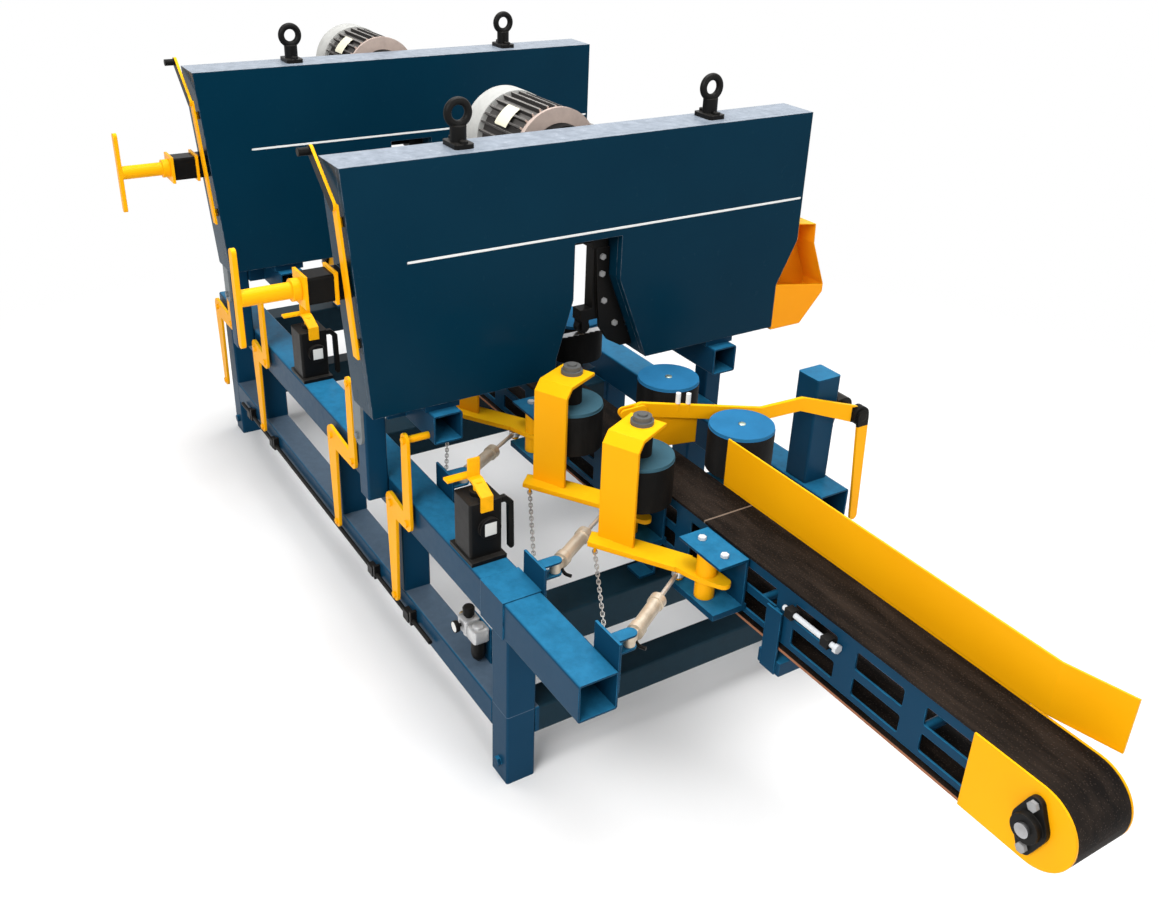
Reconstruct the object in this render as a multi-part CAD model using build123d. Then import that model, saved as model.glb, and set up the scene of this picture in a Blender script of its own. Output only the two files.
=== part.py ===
from build123d import *
import math
import os

# Two-head horizontal band resaw. Sizes are in millimetres.
# +X runs along the conveyor towards the nose, +Y across it, +Z up from the floor.
# Lengths across are counted from the belt's centre line until the finished pieces are saved.

# Clearances
RUN_FIT = 0.05           # radial play of a shaft in its bore
SEAT_GAP = 0.3           # play between a turning piece and the face it runs beside
SLIDE_GAP = 0.6          # play between sliding steelwork

# Square tube of the floor frame
POST = 101.6
RAIL = 127.0
TUBE_WALL = 6.0
TUBE_CORNER = 8.0
FRAME_FRONT = 768.0
FRAME_REAR = -2017.0
FRAME_HALF = 612.0       # belt centre line to the rails' centre line
BOTTOM_RAIL_Z = 170.0    # underside of the bottom rails
TOP_RAIL_Z = 580.0       # underside of the top rails
RAIL_NOSE = 410.0        # how far the left top rail stands out in front
MID_POSTS = (-36.0, -617.0, -1540.0)
CROSS_TUBES = (676.5, -636.5, -1953.5)
SADDLE_LENGTH = 140.0
SADDLE_THICK = 4.0

# Conveyor
CONVEYOR_LENGTH = 4490.0
BELT_TOP = 900.0
BELT_WIDTH = 180.0
BELT_THICK = 8.0
PULLEY_DIA = 204.0
PULLEY_FACE = 150.0
CONVEYOR_SHAFT = 36.0
SIDE_THICK = 6.0
SIDE_INSET = 6.0         # belt edge to the side plate's outer face
BED_END = 145.0          # pulley axis to the end of the side plates
CUTOUT_LENGTH = 165.0
CUTOUT_HEIGHT = 56.0
CUTOUT_PITCH = 235.0
END_PLATE_THICK = 6.0
END_PLATE_GAP = 2.0      # belt edge to end plate
END_PLATE_REACH = 190.0  # pulley axis back to the plate's square end
LEG_WIDTH = 70.0
LEGS_X = (676.5, -636.5, -1907.0)
STUB_X = 1265.0          # cross tube hung under the conveyor
STUB = (90.0, 45.0)

# Fence and fence rolls
FENCE_START = 785.0
FENCE_END = 2162.0
FENCE_BOTTOM = 905.0
FENCE_TOP = 1060.0
FENCE_THICK = 6.0
FENCE_FLARE = 170.0      # length of the flared end
FENCE_FLARE_ANGLE = 14.0
FENCE_BRACKETS = (900.0, 1160.0, 1700.0)
ROLL_DIA = 210.0
ROLL_TOP = 1060.0
ROLL_BOTTOM = 910.0
ROLL_SHAFT = 40.0
ROLL_HUB = 70.0
CAP_THICK = 10.0
FENCE_ROLL_PROUD = 4.0   # rolls stand this far past the fence face
ROLL_X = (727.0, 335.0, -265.0)
STAND_THICK = 18.0
STAND_TOP = 860.0

# Press arms, measured from the roll axis
PRESS_ROLL_Y = -195.0
YOKE_ANGLE = -64.0       # direction of the yoke plate seen from the roll axis
YOKE_WIDTH = 120.0
YOKE_THICK = 10.0
YOKE_GAP = 8.0           # roll to yoke plate
YOKE_TOP = 1160.0
YOKE_TAIL = 42.0         # how far the tab runs past the roll axis
YOKE_SLANT = 30.0        # the fold's small shoulder, both across and down
ARM_BOTTOM = 796.0
ARM_THICK = 15.0
ARM_PIVOT = (315.0, 30.0)
ARM_PLATE = ((13.0, -183.0), (250.0, -33.0), (225.0, 50.0), (54.0, -56.0), (-30.0, -140.0))
ARM_ELBOW = (236.0, 8.0, 40.0)      # along, across, radius
ARM_END = (372.0, 48.0, 22.0)
ROD_PIN = (215.0, 10.0)
CLEVIS_AHEAD = 405.0
CLEVIS_STANDOFF = 60.0   # rail to the clevis pin
CLEVIS_EAR = 20.0
PIVOT_PIN_DIA = 30.0
PIVOT_HUB_DIA = 60.0
PIVOT_PLATE = (190.0, 105.0, 8.0)
PIVOT_LOW_Z = 715.0
CYLINDER_Z = 760.0
CYLINDER_DIA = 42.0
CYLINDER_LENGTH = 170.0
CYLINDER_TAIL = 34.0     # clevis pin to the cylinder's end cap
CYLINDER_CAP = 26.0
ROD_DIA = 14.0
EYE_PLAY = 3.0           # open pivot of the linkage
ROD_PIN_DIA = 14.0
CLEVIS_PIN_DIA = 16.0
LINK_COUNT = 15           # odd, so that both end links lie flat for their pegs
LINK_SLACK = 0.6
LINK_WIDTH = 20.0
LINK_WIRE = 5.0
CHAIN_START = (20.0, -160.0, 779.0)
CHAIN_END = (-62.0, 26.0, 722.0)   # from the clevis pin along, from the rail, height
CHAIN_PIN = 8.0

# Hold-down
HOLD_POST_X = 618.0
HOLD_POST_TOP = 1100.0
HOLD_PIVOT = (722.0, 960.0)
HOLD_KNEE = (490.0, 1033.0)
HOLD_DIP = (339.0, 1018.0)
HOLD_TIP = (-90.0, 1095.0)
HOLD_ARM_HEIGHT = 46.0
HOLD_ARM_THICK = 14.0
HOLD_SHAFT = 28.0
HOLD_SKEW = 12.0         # the arm leans back in plan, degrees
HOLD_ARM_AHEAD = 40.0    # post face to arm
SHOE_Y = (-75.0, 115.0)
SHOE_Z = (945.0, 1060.0)
SHOE_THICK = 8.0
STUDS_Y = (38.0, 74.0)
LEVER_LENGTH = 400.0

# Saw heads
HEAD_FRONTS = (166.0, -1279.0)
HEAD_DEPTH = 155.0
COVER_DEPTH = 25.0
SHEET = 4.0
BACK_SHEET = 6.0
HEAD_END_ROOM = 66.0     # band wheel to the end of the head
HEAD_TOP = 1852.0
HEAD_BOTTOM = 1063.0
END_LEAN = 60.0          # left end draws in this much towards the bottom
RIGHT_STEP = 78.0
RIGHT_STEP_Z = (1391.0, 1230.0)
THROAT_HALF = 91.0
THROAT_TOP = 1521.0
THROAT_LEFT = (1328.0, 1127.0, 60.0)
THROAT_RIGHT = (1367.0, 123.0)
WHEEL_DIA = 660.0
WHEEL_FACE = 36.0
WHEEL_Y = 470.0
WHEEL_Z = 1487.0
WHEEL_PLANE = 100.0      # head front to the middle of the wheels
BAND_WIDTH = 32.0
BAND_THICK = 1.2
WHEEL_SHAFT = 50.0
BEARING_TUBE = 40.0
PULLEY_WIDTH = 50.0
WHEEL_PULLEY_DIA = 280.0
MOTOR_PULLEY_DIA = 180.0
DRIVE_BELT_THICK = 12.0
MOTOR_Y = -10.0
MOTOR_Z = 1742.0
MOTOR_DIA = 296.0
MOTOR_LENGTH = 380.0
MOTOR_FINS = 30
FIN_HEIGHT = 17.0
HOIST_Y = (-456.0, 481.0)
TENSION_TUBE = 84.0
TENSION_REACH = 95.0     # tension tube past the left end
HANDLE_REACH = 1158.0
HANDLE_BAR = 300.0
NUT_THICK = 15.0
NUT_ROOM = 11.5          # band to the tension nut, which moves in by nine when slackened
CHUTE_WIDTH = 110.0
CHUTE_OUT = 161.0        # end of the head to the chute's farthest point
CHUTE_RIM = 130.0        # height of the front pocket over the foot of the chute
LATCH_OUT = 20.0         # end of the head to the outer face of the latch bar
GUIDE_WEB = 28.0         # height of the guide rail's web
GUIDE_EDGE = 5.0         # throat wall to the guide plate

# Carriage of each head
CARRIAGE_TUBE = 101.6
CARRIAGE_Y = 560.0
CARRIAGE_DROP = 30.0     # head bottom to carriage tube top
CARRIAGE_FRONT = 20.0
CARRIAGE_LENGTH = 540.0
LEG = 76.0
LEG_BACK = 253.0         # head front to the leg's middle
LEG_TOP = 1140.0
LEG_BOTTOM = 640.0
HANGER_BACK = (23.0, 499.0)
HANGER_BAR = (34.0, 10.0)
HANGER_STEPS = (133.0, 207.0)
HANGER_CROSS_Z = 640.0
HANGER_BOTTOM = 270.0
GEARBOX_AHEAD = 320.0
GEARBOX = (110.0, 110.0, 205.0)

# Worked out from the sizes above
BELT_HALF = BELT_WIDTH / 2
PULLEY_R = PULLEY_DIA / 2
BELT_R = PULLEY_R + SEAT_GAP + BELT_THICK
NOSE_X = CONVEYOR_LENGTH / 2 - BELT_R
AXIS_Z = BELT_TOP - BELT_R
SIDE_FACE = BELT_HALF - SIDE_INSET
RETURN_TOP = AXIS_Z - PULLEY_R - SEAT_GAP
BED_TOP = BELT_TOP - BELT_THICK - SEAT_GAP
ROLL_R = ROLL_DIA / 2
FENCE_FACE = BELT_HALF + 2.0
FENCE_ROLL_Y = FENCE_FACE - FENCE_ROLL_PROUD + ROLL_R
RAIL_TOP = TOP_RAIL_Z + RAIL
RAIL_FACE = FRAME_HALF + RAIL / 2
RAIL_INSIDE = RAIL / 2 - FRAME_HALF - PRESS_ROLL_Y   # left rail's inner face, from the roll axis
CLEVIS_PIN = (CLEVIS_AHEAD, RAIL_INSIDE + CLEVIS_STANDOFF)
POST_FACE = FRAME_HALF + POST / 2
WHEEL_R = WHEEL_DIA / 2
HEAD_HALF = WHEEL_Y + WHEEL_R + HEAD_END_ROOM
BAND_R = WHEEL_R + SEAT_GAP
CARRIAGE_TOP = HEAD_BOTTOM - CARRIAGE_DROP
LEG_FACE = RAIL_FACE + SLIDE_GAP
HANGER_Y = LEG_FACE + 12.0
CHUTE_REACH = HEAD_HALF + CHUTE_OUT
MID_Y = (CHUTE_REACH - HANDLE_REACH) / 2


def save(node, *solids):
    """Write one node, moved so that the origin lies under the middle of the machine."""
    placed = [Pos(0, -MID_Y, 0) * solid for solid in solids]
    shape = placed[0] if len(placed) == 1 else Compound(children=placed)
    export_step(shape, f"parts/{node}.step")


def outline(points, corner=0.0):
    """Closed flat outline through the points, with its corners rounded."""
    face = make_face(Polyline(*points, close=True))
    return fillet(face.vertices(), corner) if corner else face


def along_x(face, low, high):
    """Push an outline drawn in (y, z) from one x to another."""
    return extrude(Plane.YZ.offset(low) * face, amount=high - low)


def along_y(face, low, high):
    """Push an outline drawn in (x, z) from one y to another."""
    plane = Plane(origin=(0, high, 0), x_dir=(1, 0, 0), z_dir=(0, -1, 0))
    return extrude(plane * face, amount=high - low)


def along_z(face, low, high):
    """Push an outline drawn in (x, y) from one z to another."""
    return extrude(Plane.XY.offset(low) * face, amount=high - low)


def block(x, y, z):
    """Rectangular solid between three pairs of limits."""
    middle = [(low + high) / 2 for low, high in (x, y, z)]
    size = [high - low for low, high in (x, y, z)]
    return Pos(*middle) * Box(*size)


def round_face(radius, bore=0.0, at=(0.0, 0.0)):
    """Disc or ring outline."""
    face = Circle(radius)
    if bore:
        face -= Circle(bore)
    return Pos(*at) * face


def strap(*circles):
    """Outline of a bar that runs from circle to circle; each is (x, y, radius)."""
    face = None
    for first, second in zip(circles, circles[1:]):
        rings = [Pos(x, y) * Circle(r) for x, y, r in (first, second)]
        span = make_hull(rings[0].edges() + rings[1].edges())
        face = span if face is None else face + span
    return face


def tube_face(size, at):
    """Section of square tube with rounded outer corners."""
    inner = size - 2 * TUBE_WALL
    return Pos(*at) * (RectangleRounded(size, size, TUBE_CORNER) - Rectangle(inner, inner))


def wall_ring(face, wall):
    """The band of an outline that lies within one wall of its edge."""
    return face - offset(face, amount=-wall, kind=Kind.INTERSECTION)


def mirror_y(solid):
    """The same piece on the other side of the belt."""
    return mirror(solid, about=Plane.XZ)


def tube_x(size, x, y, z):
    """Square tube along X; y and z are its lower edges."""
    return along_x(tube_face(size, (y + size / 2, z + size / 2)), *x)


def tube_y(size, x, y, z):
    """Square tube along Y; x and z are its lower edges."""
    return along_y(tube_face(size, (x + size / 2, z + size / 2)), *y)


def tube_z(size, x, y, z):
    """Square tube along Z; x and y are its lower edges."""
    return along_z(tube_face(size, (x + size / 2, y + size / 2)), *z)


def hex_head(across, height):
    """Bolt head standing on the XY plane."""
    return extrude(RegularPolygon(across / 2, 6, major_radius=False), amount=height)


def floor_frame():
    """Welded stand: two side frames joined by cross tubes, with the hold-down post."""
    pieces = []
    post_low = FRAME_HALF - POST / 2
    corners = (FRAME_REAR, FRAME_FRONT - POST)
    for side in (-1, 1):
        y_post = side * FRAME_HALF - POST / 2
        y_rail = side * FRAME_HALF - RAIL / 2
        front = FRAME_FRONT + (RAIL_NOSE if side < 0 else 0)
        for x in corners:
            pieces.append(tube_z(POST, x, y_post, (0, TOP_RAIL_Z)))
            anchor = Pos(x + POST / 2, side * POST_FACE, 62) * Rot(-90 * side, 0, 0)
            pieces.append(anchor * hex_head(30, 12))
        pieces.append(tube_x(POST, (corners[0] + POST, corners[1]), y_post, BOTTOM_RAIL_Z))
        pieces.append(tube_x(RAIL, (FRAME_REAR, front), y_rail, TOP_RAIL_Z))
        for x in MID_POSTS:
            pieces.append(tube_z(POST, x - POST / 2, y_post, (BOTTOM_RAIL_Z + POST, TOP_RAIL_Z)))
    for x in corners:
        pieces.append(tube_y(POST, x, (-post_low, post_low), BOTTOM_RAIL_Z))
    for x in CROSS_TUBES:
        pieces.append(tube_y(RAIL, x - RAIL / 2, (-post_low, post_low), TOP_RAIL_Z - RAIL))
    hold_x = HOLD_POST_X - POST / 2
    pieces.append(tube_z(POST, hold_x, FRAME_HALF - POST / 2, (RAIL_TOP, HOLD_POST_TOP - 5)))
    cap = RectangleRounded(POST, POST, TUBE_CORNER)
    pieces.append(along_z(Pos(HOLD_POST_X, FRAME_HALF) * cap, HOLD_POST_TOP - 5, HOLD_POST_TOP))
    saddle_x = (FRAME_FRONT - SADDLE_LENGTH, FRAME_FRONT)
    skin = -RAIL_FACE - SADDLE_THICK
    saddle = block(saddle_x, (skin, -RAIL_FACE + RAIL), (RAIL_TOP, RAIL_TOP + SADDLE_THICK))
    saddle += block(saddle_x, (skin, -RAIL_FACE), (TOP_RAIL_Z, RAIL_TOP))
    pieces.append(saddle)
    save("floor_frame", *pieces)


def lift_gearbox(x):
    """Screw-lift gearbox on the left rail with the bent strap that ties it to the head."""
    y = -FRAME_HALF
    long, wide, high = GEARBOX
    top = RAIL_TOP + high
    base = block((x - 75, x + 75), (y - 60, y + 60), (RAIL_TOP, RAIL_TOP + 14))
    body = along_z(Pos(x, y) * RectangleRounded(long, wide, 10), RAIL_TOP + 14, top)
    collar = along_z(round_face(26, at=(x, y)), top, top + 16)
    rim = along_x(round_face(36, at=(y + 8, top - 90)), x + long / 2, x + long / 2 + 14)
    cable = along_x(strap((y + 75, top - 20, 9), (y + 95, top - 40, 9), (y + 98, RAIL_TOP + 9, 9)),
                    x + 20, x + 36)
    lug = block((x + 20, x + 36), (y + wide / 2, y + 80), (top - 30, top - 12))
    return [base, body, collar, rim, cable + lug]


def gearbox_strap(x):
    """Yellow strap bent over the front of a gearbox, with an upright ear and a side ear."""
    y = -FRAME_HALF
    front = x + GEARBOX[0] / 2
    top = RAIL_TOP + GEARBOX[2]
    profile = [(front, top - 30), (front + 8, top - 30), (front + 8, top + 22), (x - 4, top + 50),
               (x - 60, top + 50), (x - 60, top + 42), (x - 6, top + 42), (front, top + 17)]
    bent = along_y(outline(profile), y - 20, y + 20)
    ear = block((x - 30, x - 22), (y - 20, y + 20), (top + 50, top + 110))
    arm = block((x - 60, x - 30), (y - 85, y - 20), (top + 42, top + 50))
    stem = along_z(round_face(14, at=(x, y)), top + 16, top + 45)
    return [bent + ear + arm, stem - bent]


def lift_linkage():
    """Rod on the outer side of the left bottom rail, held in clamp blocks."""
    y = -POST_FACE - 13
    z = BOTTOM_RAIL_Z + 40
    stops = [front + shift for front in HEAD_FRONTS for shift in (-100, -420)]
    rod = along_x(round_face(8, at=(y, z)), min(stops) - 120, max(stops) + 180)
    pieces = [rod]
    for x in stops:
        clamp = block((x - 22, x + 22), (y - 11, -POST_FACE), (z - 20, z + 20))
        lug = block((x + 34, x + 46), (y - 11, -POST_FACE), (z - 16, z + 40))
        pieces += [clamp - rod, lug - rod]
    return pieces


def lift_gearboxes():
    pieces = lift_linkage()
    for front in HEAD_FRONTS:
        pieces += lift_gearbox(front + GEARBOX_AHEAD)
        pieces += gearbox_strap(front + GEARBOX_AHEAD)
    save("lift_gearboxes", *pieces)


def side_plate():
    """Side plate of the conveyor with two rows of oblong windows."""
    reach = NOSE_X - BED_END
    plate = Pos(0, (BED_TOP - 6 + RETURN_TOP + 14) / 2) * Rectangle(2 * reach, BED_TOP - 6 - RETURN_TOP - 14)
    count = int((2 * reach - CUTOUT_LENGTH) // CUTOUT_PITCH)
    window = RectangleRounded(CUTOUT_LENGTH, CUTOUT_HEIGHT, 8)
    for row in (BED_TOP - 62, RETURN_TOP + 60):
        for step in range(count + 1):
            x = (step - count / 2) * CUTOUT_PITCH
            plate -= Pos(x, row) * window
    return along_y(plate, -SIDE_FACE, -SIDE_FACE + SIDE_THICK)


def conveyor_bed():
    """Slider bed: two side plates, a slide plate, spreader tubes and legs on the cross tubes."""
    side = side_plate()
    reach = NOSE_X - BED_END
    slide = block((-reach, reach), (-SIDE_FACE, SIDE_FACE), (BED_TOP - 6, BED_TOP))
    pieces = [side, mirror_y(side), slide]
    inner = SIDE_FACE - SIDE_THICK
    for x in (-1800, -1200, -400, 400, 1200, 1800):
        pieces.append(along_y(round_face(14, at=(x, AXIS_Z)), -inner, inner))
    leg_face = BELT_HALF + 3
    leg_top = PIVOT_LOW_Z - 1
    for x in LEGS_X:
        for sign in (-1, 1):
            span = (x - LEG_WIDTH / 2, x + LEG_WIDTH / 2)
            upright = sorted((sign * leg_face, sign * (leg_face + 8)))
            foot = sorted((sign * leg_face, sign * (leg_face + 60)))
            head = sorted((sign * SIDE_FACE, sign * leg_face))
            leg = block(span, upright, (TOP_RAIL_Z, leg_top))
            leg += block(span, foot, (TOP_RAIL_Z, TOP_RAIL_Z + 10))
            pieces.append(leg + block(span, head, (RETURN_TOP + 3, leg_top)))
    hung = [Pos(STUB_X, 0, RETURN_TOP - 70) * Box(STUB[0], 2 * leg_face, STUB[1])]
    for sign in (-1, 1):
        y = sorted((sign * leg_face, sign * (leg_face + 6)))
        across = sorted((sign * SIDE_FACE, sign * leg_face))
        hung.append(block((STUB_X - 30, STUB_X + 30), y, (RETURN_TOP - 92, AXIS_Z + 15)))
        hung.append(along_y(round_face(13, at=(STUB_X, AXIS_Z)), *across))
    save("conveyor_bed", *pieces, *hung, *fence_roll_stands())


def fence_roll_stands():
    """Shelf plates off the right side plate, each with a fixed pin for a fence roll."""
    pieces = []
    pin_top = ROLL_TOP - 30
    for x in ROLL_X:
        shelf = outline([(x - 90, SIDE_FACE), (x + 90, SIDE_FACE), (x + 60, FENCE_ROLL_Y + 60),
                         (x - 60, FENCE_ROLL_Y + 60)])
        plate = along_z(shelf, STAND_TOP - STAND_THICK, STAND_TOP)
        rib = along_x(outline([(SIDE_FACE, STAND_TOP - STAND_THICK), (SIDE_FACE, RETURN_TOP + 30),
                               (FENCE_ROLL_Y, STAND_TOP - STAND_THICK)]), x - 5, x + 5)
        pin = along_z(round_face(ROLL_SHAFT / 2, at=(x, FENCE_ROLL_Y)), STAND_TOP, pin_top)
        pieces.append(plate + rib + pin)
    return pieces


def conveyor_belt():
    """Closed belt around both pulleys."""
    ends = [(-NOSE_X, AXIS_Z), (NOSE_X, AXIS_Z)]
    outer = strap(*[(x, z, BELT_R) for x, z in ends])
    inner = strap(*[(x, z, BELT_R - BELT_THICK) for x, z in ends])
    save("conveyor_belt", along_y(outer - inner, -BELT_HALF, BELT_HALF))


def end_plates():
    """Rounded plates either side of each pulley, spaced off the side plates."""
    face = BELT_HALF + END_PLATE_GAP
    pieces = []
    for end in (1, -1):
        x = end * NOSE_X
        back = x - end * END_PLATE_REACH
        low, high = AXIS_Z - BELT_R, AXIS_Z + BELT_R
        square = [(back, low), (x, low), (x, high), (back, high)]
        shape = Pos(x, AXIS_Z) * Circle(BELT_R) + outline(square)
        shape -= Pos(x, AXIS_Z) * Circle(CONVEYOR_SHAFT / 2 + 6)
        plate = along_y(shape, -face - END_PLATE_THICK, -face)
        spots = [(back + end * 22, AXIS_Z + z) for z in (-45, 45)]
        spacers = [along_y(round_face(15, at=spot), -face, -SIDE_FACE) for spot in spots]
        pieces += [plate, mirror_y(plate)]
        for spacer in spacers:
            pieces += [spacer, mirror_y(spacer)]
    save("end_plates", *pieces)


def flange_bearing(end):
    """Two-bolt flange bearing on the outer face of a left end plate."""
    face = BELT_HALF + END_PLATE_GAP + END_PLATE_THICK
    x = end * NOSE_X
    rhomb = strap((x, AXIS_Z - 62, 20), (x, AXIS_Z, 45), (x, AXIS_Z + 62, 20))
    hole = Pos(x, AXIS_Z) * Circle(CONVEYOR_SHAFT / 2 + RUN_FIT)
    body = along_y(rhomb - hole, -face - 14, -face)
    body += along_y(round_face(36, at=(x, AXIS_Z)) - hole, -face - 32, -face - 14)
    bolts = []
    for z in (-62, 62):
        bolts.append(Pos(x, -face - 14, AXIS_Z + z) * Rot(90, 0, 0) * hex_head(24, 10))
    return [body] + bolts


def take_up_screw(end):
    """Belt-tension screw beside the bed with its two blocks."""
    y = SIDE_FACE + 13
    z = BED_TOP - 58
    low, high = sorted((end * 1300, end * 1500))
    screw = along_x(round_face(8, at=(-y, z)), low, high)
    pieces = [screw]
    for x in (low + 30, high - 30):
        pieces.append(block((x - 14, x + 14), (-y - 14, -SIDE_FACE), (z - 14, z + 14)) - screw)
    nut = Pos(high, -y, z) * Rot(0, 90, 0) * hex_head(24, 12)
    return pieces + [nut]


def bearing_units():
    """Flange bearings of both pulleys, the hold-down's pillow block and the take-up screws."""
    pieces = []
    for end in (1, -1):
        for solid in flange_bearing(end):
            pieces += [solid, mirror_y(solid)]
    for solid in take_up_screw(1):
        pieces += [solid, mirror_y(solid)]
    pieces += hold_down_bearing()
    save("bearing_units", *pieces)


def hold_down_bearing():
    """Pillow block bolted to the outer face of the hold-down post."""
    y, z = HOLD_PIVOT
    x = (HOLD_POST_X - 30, HOLD_POST_X + 30)
    shape = outline([(POST_FACE, z - 62), (POST_FACE + 16, z - 62), (POST_FACE + 24, z - 30), (y, z - 34),
                     (y, z + 34), (POST_FACE + 24, z + 30), (POST_FACE + 16, z + 62), (POST_FACE, z + 62)])
    shape += Pos(y, z) * Circle(34)
    shape -= Pos(y, z) * Circle(HOLD_SHAFT / 2 + RUN_FIT)
    bolts = [Pos(HOLD_POST_X, POST_FACE + 16, z + up) * Rot(-90, 0, 0) * hex_head(19, 8) for up in (-50, 50)]
    return [along_x(shape, *x)] + bolts


def end_pulley(node, end):
    """Belt pulley with its shaft; the driven one runs on into the gearmotor."""
    x = end * NOSE_X
    stub = BELT_HALF + END_PLATE_GAP + END_PLATE_THICK + 40
    drive = stub + 80 if end < 0 else stub
    shell = along_y(round_face(PULLEY_R, at=(x, AXIS_Z)), -PULLEY_FACE / 2, PULLEY_FACE / 2)
    shaft = along_y(round_face(CONVEYOR_SHAFT / 2, at=(x, AXIS_Z)), -stub, drive)
    save(node, shell + shaft)


def gearmotor():
    """Hollow-shaft gear unit on the tail shaft with a motor standing across it."""
    x = -NOSE_X
    near = BELT_HALF + END_PLATE_GAP + END_PLATE_THICK + 42
    case = Pos(x, AXIS_Z) * RectangleRounded(170, 190, 25)
    case -= Pos(x, AXIS_Z) * Circle(CONVEYOR_SHAFT / 2 + RUN_FIT)
    gear = along_y(case, near, near + 110)
    side = along_y(round_face(58, bore=CONVEYOR_SHAFT / 2 + RUN_FIT, at=(x, AXIS_Z)), near - 8, near)
    motor_y = near + 110
    can = along_y(round_face(72, at=(x + 10, AXIS_Z - 5)), motor_y, motor_y + 190)
    cowl = along_y(round_face(76, at=(x + 10, AXIS_Z - 5)), motor_y + 190, motor_y + 235)
    box = block((x - 40, x + 60), (motor_y + 40, motor_y + 140), (AXIS_Z + 55, AXIS_Z + 105))
    tie = block((x + 85, x + 185), (near, near + 12), (AXIS_Z - 30, AXIS_Z + 30))
    plate_face = BELT_HALF + END_PLATE_GAP + END_PLATE_THICK
    tie += along_y(round_face(14, at=(x + 165, AXIS_Z)), plate_face, near)
    save("gearmotor", gear + side, can + box, cowl, tie)


def fence():
    """Upright fence plate with a flared end, on straps bolted to the right side plate."""
    bend = FENCE_END - FENCE_FLARE
    out = FENCE_FLARE * math.tan(math.radians(FENCE_FLARE_ANGLE))
    near = FENCE_FACE
    far = near + FENCE_THICK
    plan = outline([(FENCE_START, near), (bend, near), (FENCE_END, near + out), (FENCE_END, far + out),
                    (bend, far), (FENCE_START, far)])
    pieces = [along_z(plan, FENCE_BOTTOM, FENCE_TOP)]
    for x in FENCE_BRACKETS:
        pieces.append(block((x - 30, x + 30), (far, far + 8), (AXIS_Z - 40, FENCE_TOP - 20)))
        for z in (AXIS_Z - 15, AXIS_Z + 45):
            pieces.append(along_y(round_face(13, at=(x, z)), SIDE_FACE, far))
            pieces.append(Pos(x, far + 8, z) * Rot(-90, 0, 0) * hex_head(24, 10))
    save("fence", *pieces)


def roll_drum(low_hub, high_hub, pin_low, pin_high):
    """Rubber-faced roll with a steel cap and a hub, bored for its fixed pin."""
    bore = along_z(round_face(ROLL_SHAFT / 2 + RUN_FIT), pin_low, pin_high)
    drum = along_z(round_face(ROLL_R), ROLL_BOTTOM, ROLL_TOP - CAP_THICK)
    cap = along_z(round_face(ROLL_R - 2), ROLL_TOP - CAP_THICK, ROLL_TOP)
    hub = along_z(round_face(ROLL_HUB / 2), low_hub, high_hub)
    if low_hub < ROLL_BOTTOM:
        return [drum + hub - bore, cap]
    return [drum - bore, cap + hub - bore]


def fence_rolls():
    for number, x in enumerate(ROLL_X, 1):
        low = STAND_TOP + SEAT_GAP
        roll = roll_drum(low, ROLL_BOTTOM, low, ROLL_TOP - 25)
        save(f"fence_roll_{number}", *[Pos(x, FENCE_ROLL_Y, 0) * solid for solid in roll])


def press_roll():
    high = YOKE_TOP - YOKE_THICK - SEAT_GAP
    return roll_drum(ROLL_TOP, high, ROLL_BOTTOM + 20, high)


def yoke():
    """Plate folded over the roll: upright, slanted shoulder and flat tab, with the hanging shaft."""
    angle = math.radians(YOKE_ANGLE)
    out = (math.cos(angle), math.sin(angle), 0)
    inner = ROLL_R + YOKE_GAP
    outer = inner + YOKE_THICK
    foot = ARM_BOTTOM + ARM_THICK
    shoulder = YOKE_TOP - YOKE_SLANT
    under = YOKE_TOP - YOKE_THICK
    fold = YOKE_THICK * 0.41
    tail = -YOKE_TAIL
    side = outline([(inner, foot), (outer, foot), (outer, shoulder), (outer - YOKE_SLANT, YOKE_TOP),
                    (tail, YOKE_TOP), (tail, under), (outer - YOKE_SLANT - fold, under),
                    (inner, shoulder - fold)])
    plane = Plane(origin=(0, 0, 0), x_dir=out, z_dir=(out[1], -out[0], 0))
    folded = extrude(plane * side, amount=YOKE_WIDTH / 2, both=True)
    shaft = along_z(round_face(ROLL_SHAFT / 2), ROLL_BOTTOM + 25, under)
    return folded + shaft


def press_arm():
    """Swing arm: foot plate, yoke, pivot hub and the pin for the air cylinder's rod."""
    top = ARM_BOTTOM + ARM_THICK
    plan = outline(ARM_PLATE) + strap(ARM_ELBOW, (*ARM_PIVOT, 38), ARM_END)
    plate = along_z(plan, ARM_BOTTOM, top)
    hub_low = PIVOT_LOW_Z + 20 + SEAT_GAP
    hub_high = BED_TOP - PIVOT_PLATE[2] - SEAT_GAP
    hub = along_z(round_face(PIVOT_HUB_DIA / 2, at=ARM_PIVOT), hub_low, hub_high)
    bore = along_z(round_face(PIVOT_PIN_DIA / 2 + RUN_FIT, at=ARM_PIVOT), hub_low, hub_high)
    pin = along_z(round_face(ROD_PIN_DIA / 2, at=ROD_PIN), CYLINDER_Z - 20, ARM_BOTTOM)
    washer = along_z(round_face(ROD_PIN_DIA, at=ROD_PIN), CYLINDER_Z - 20, CYLINDER_Z - 14)
    start, end = chain_pins()
    peg = along_z(round_face(CHAIN_PIN / 2, at=(start.X, start.Y)), CHAIN_START[2] - 14, ARM_BOTTOM)
    arm = plate + yoke() + hub - bore + pin + washer + peg
    bearing = along_z(round_face(35), YOKE_TOP, YOKE_TOP + 12)
    bearing += along_z(round_face(28), YOKE_TOP + 12, YOKE_TOP + 26)
    bearing += along_z(round_face(15), YOKE_TOP + 26, YOKE_TOP + 32)
    return [arm, bearing]


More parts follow.
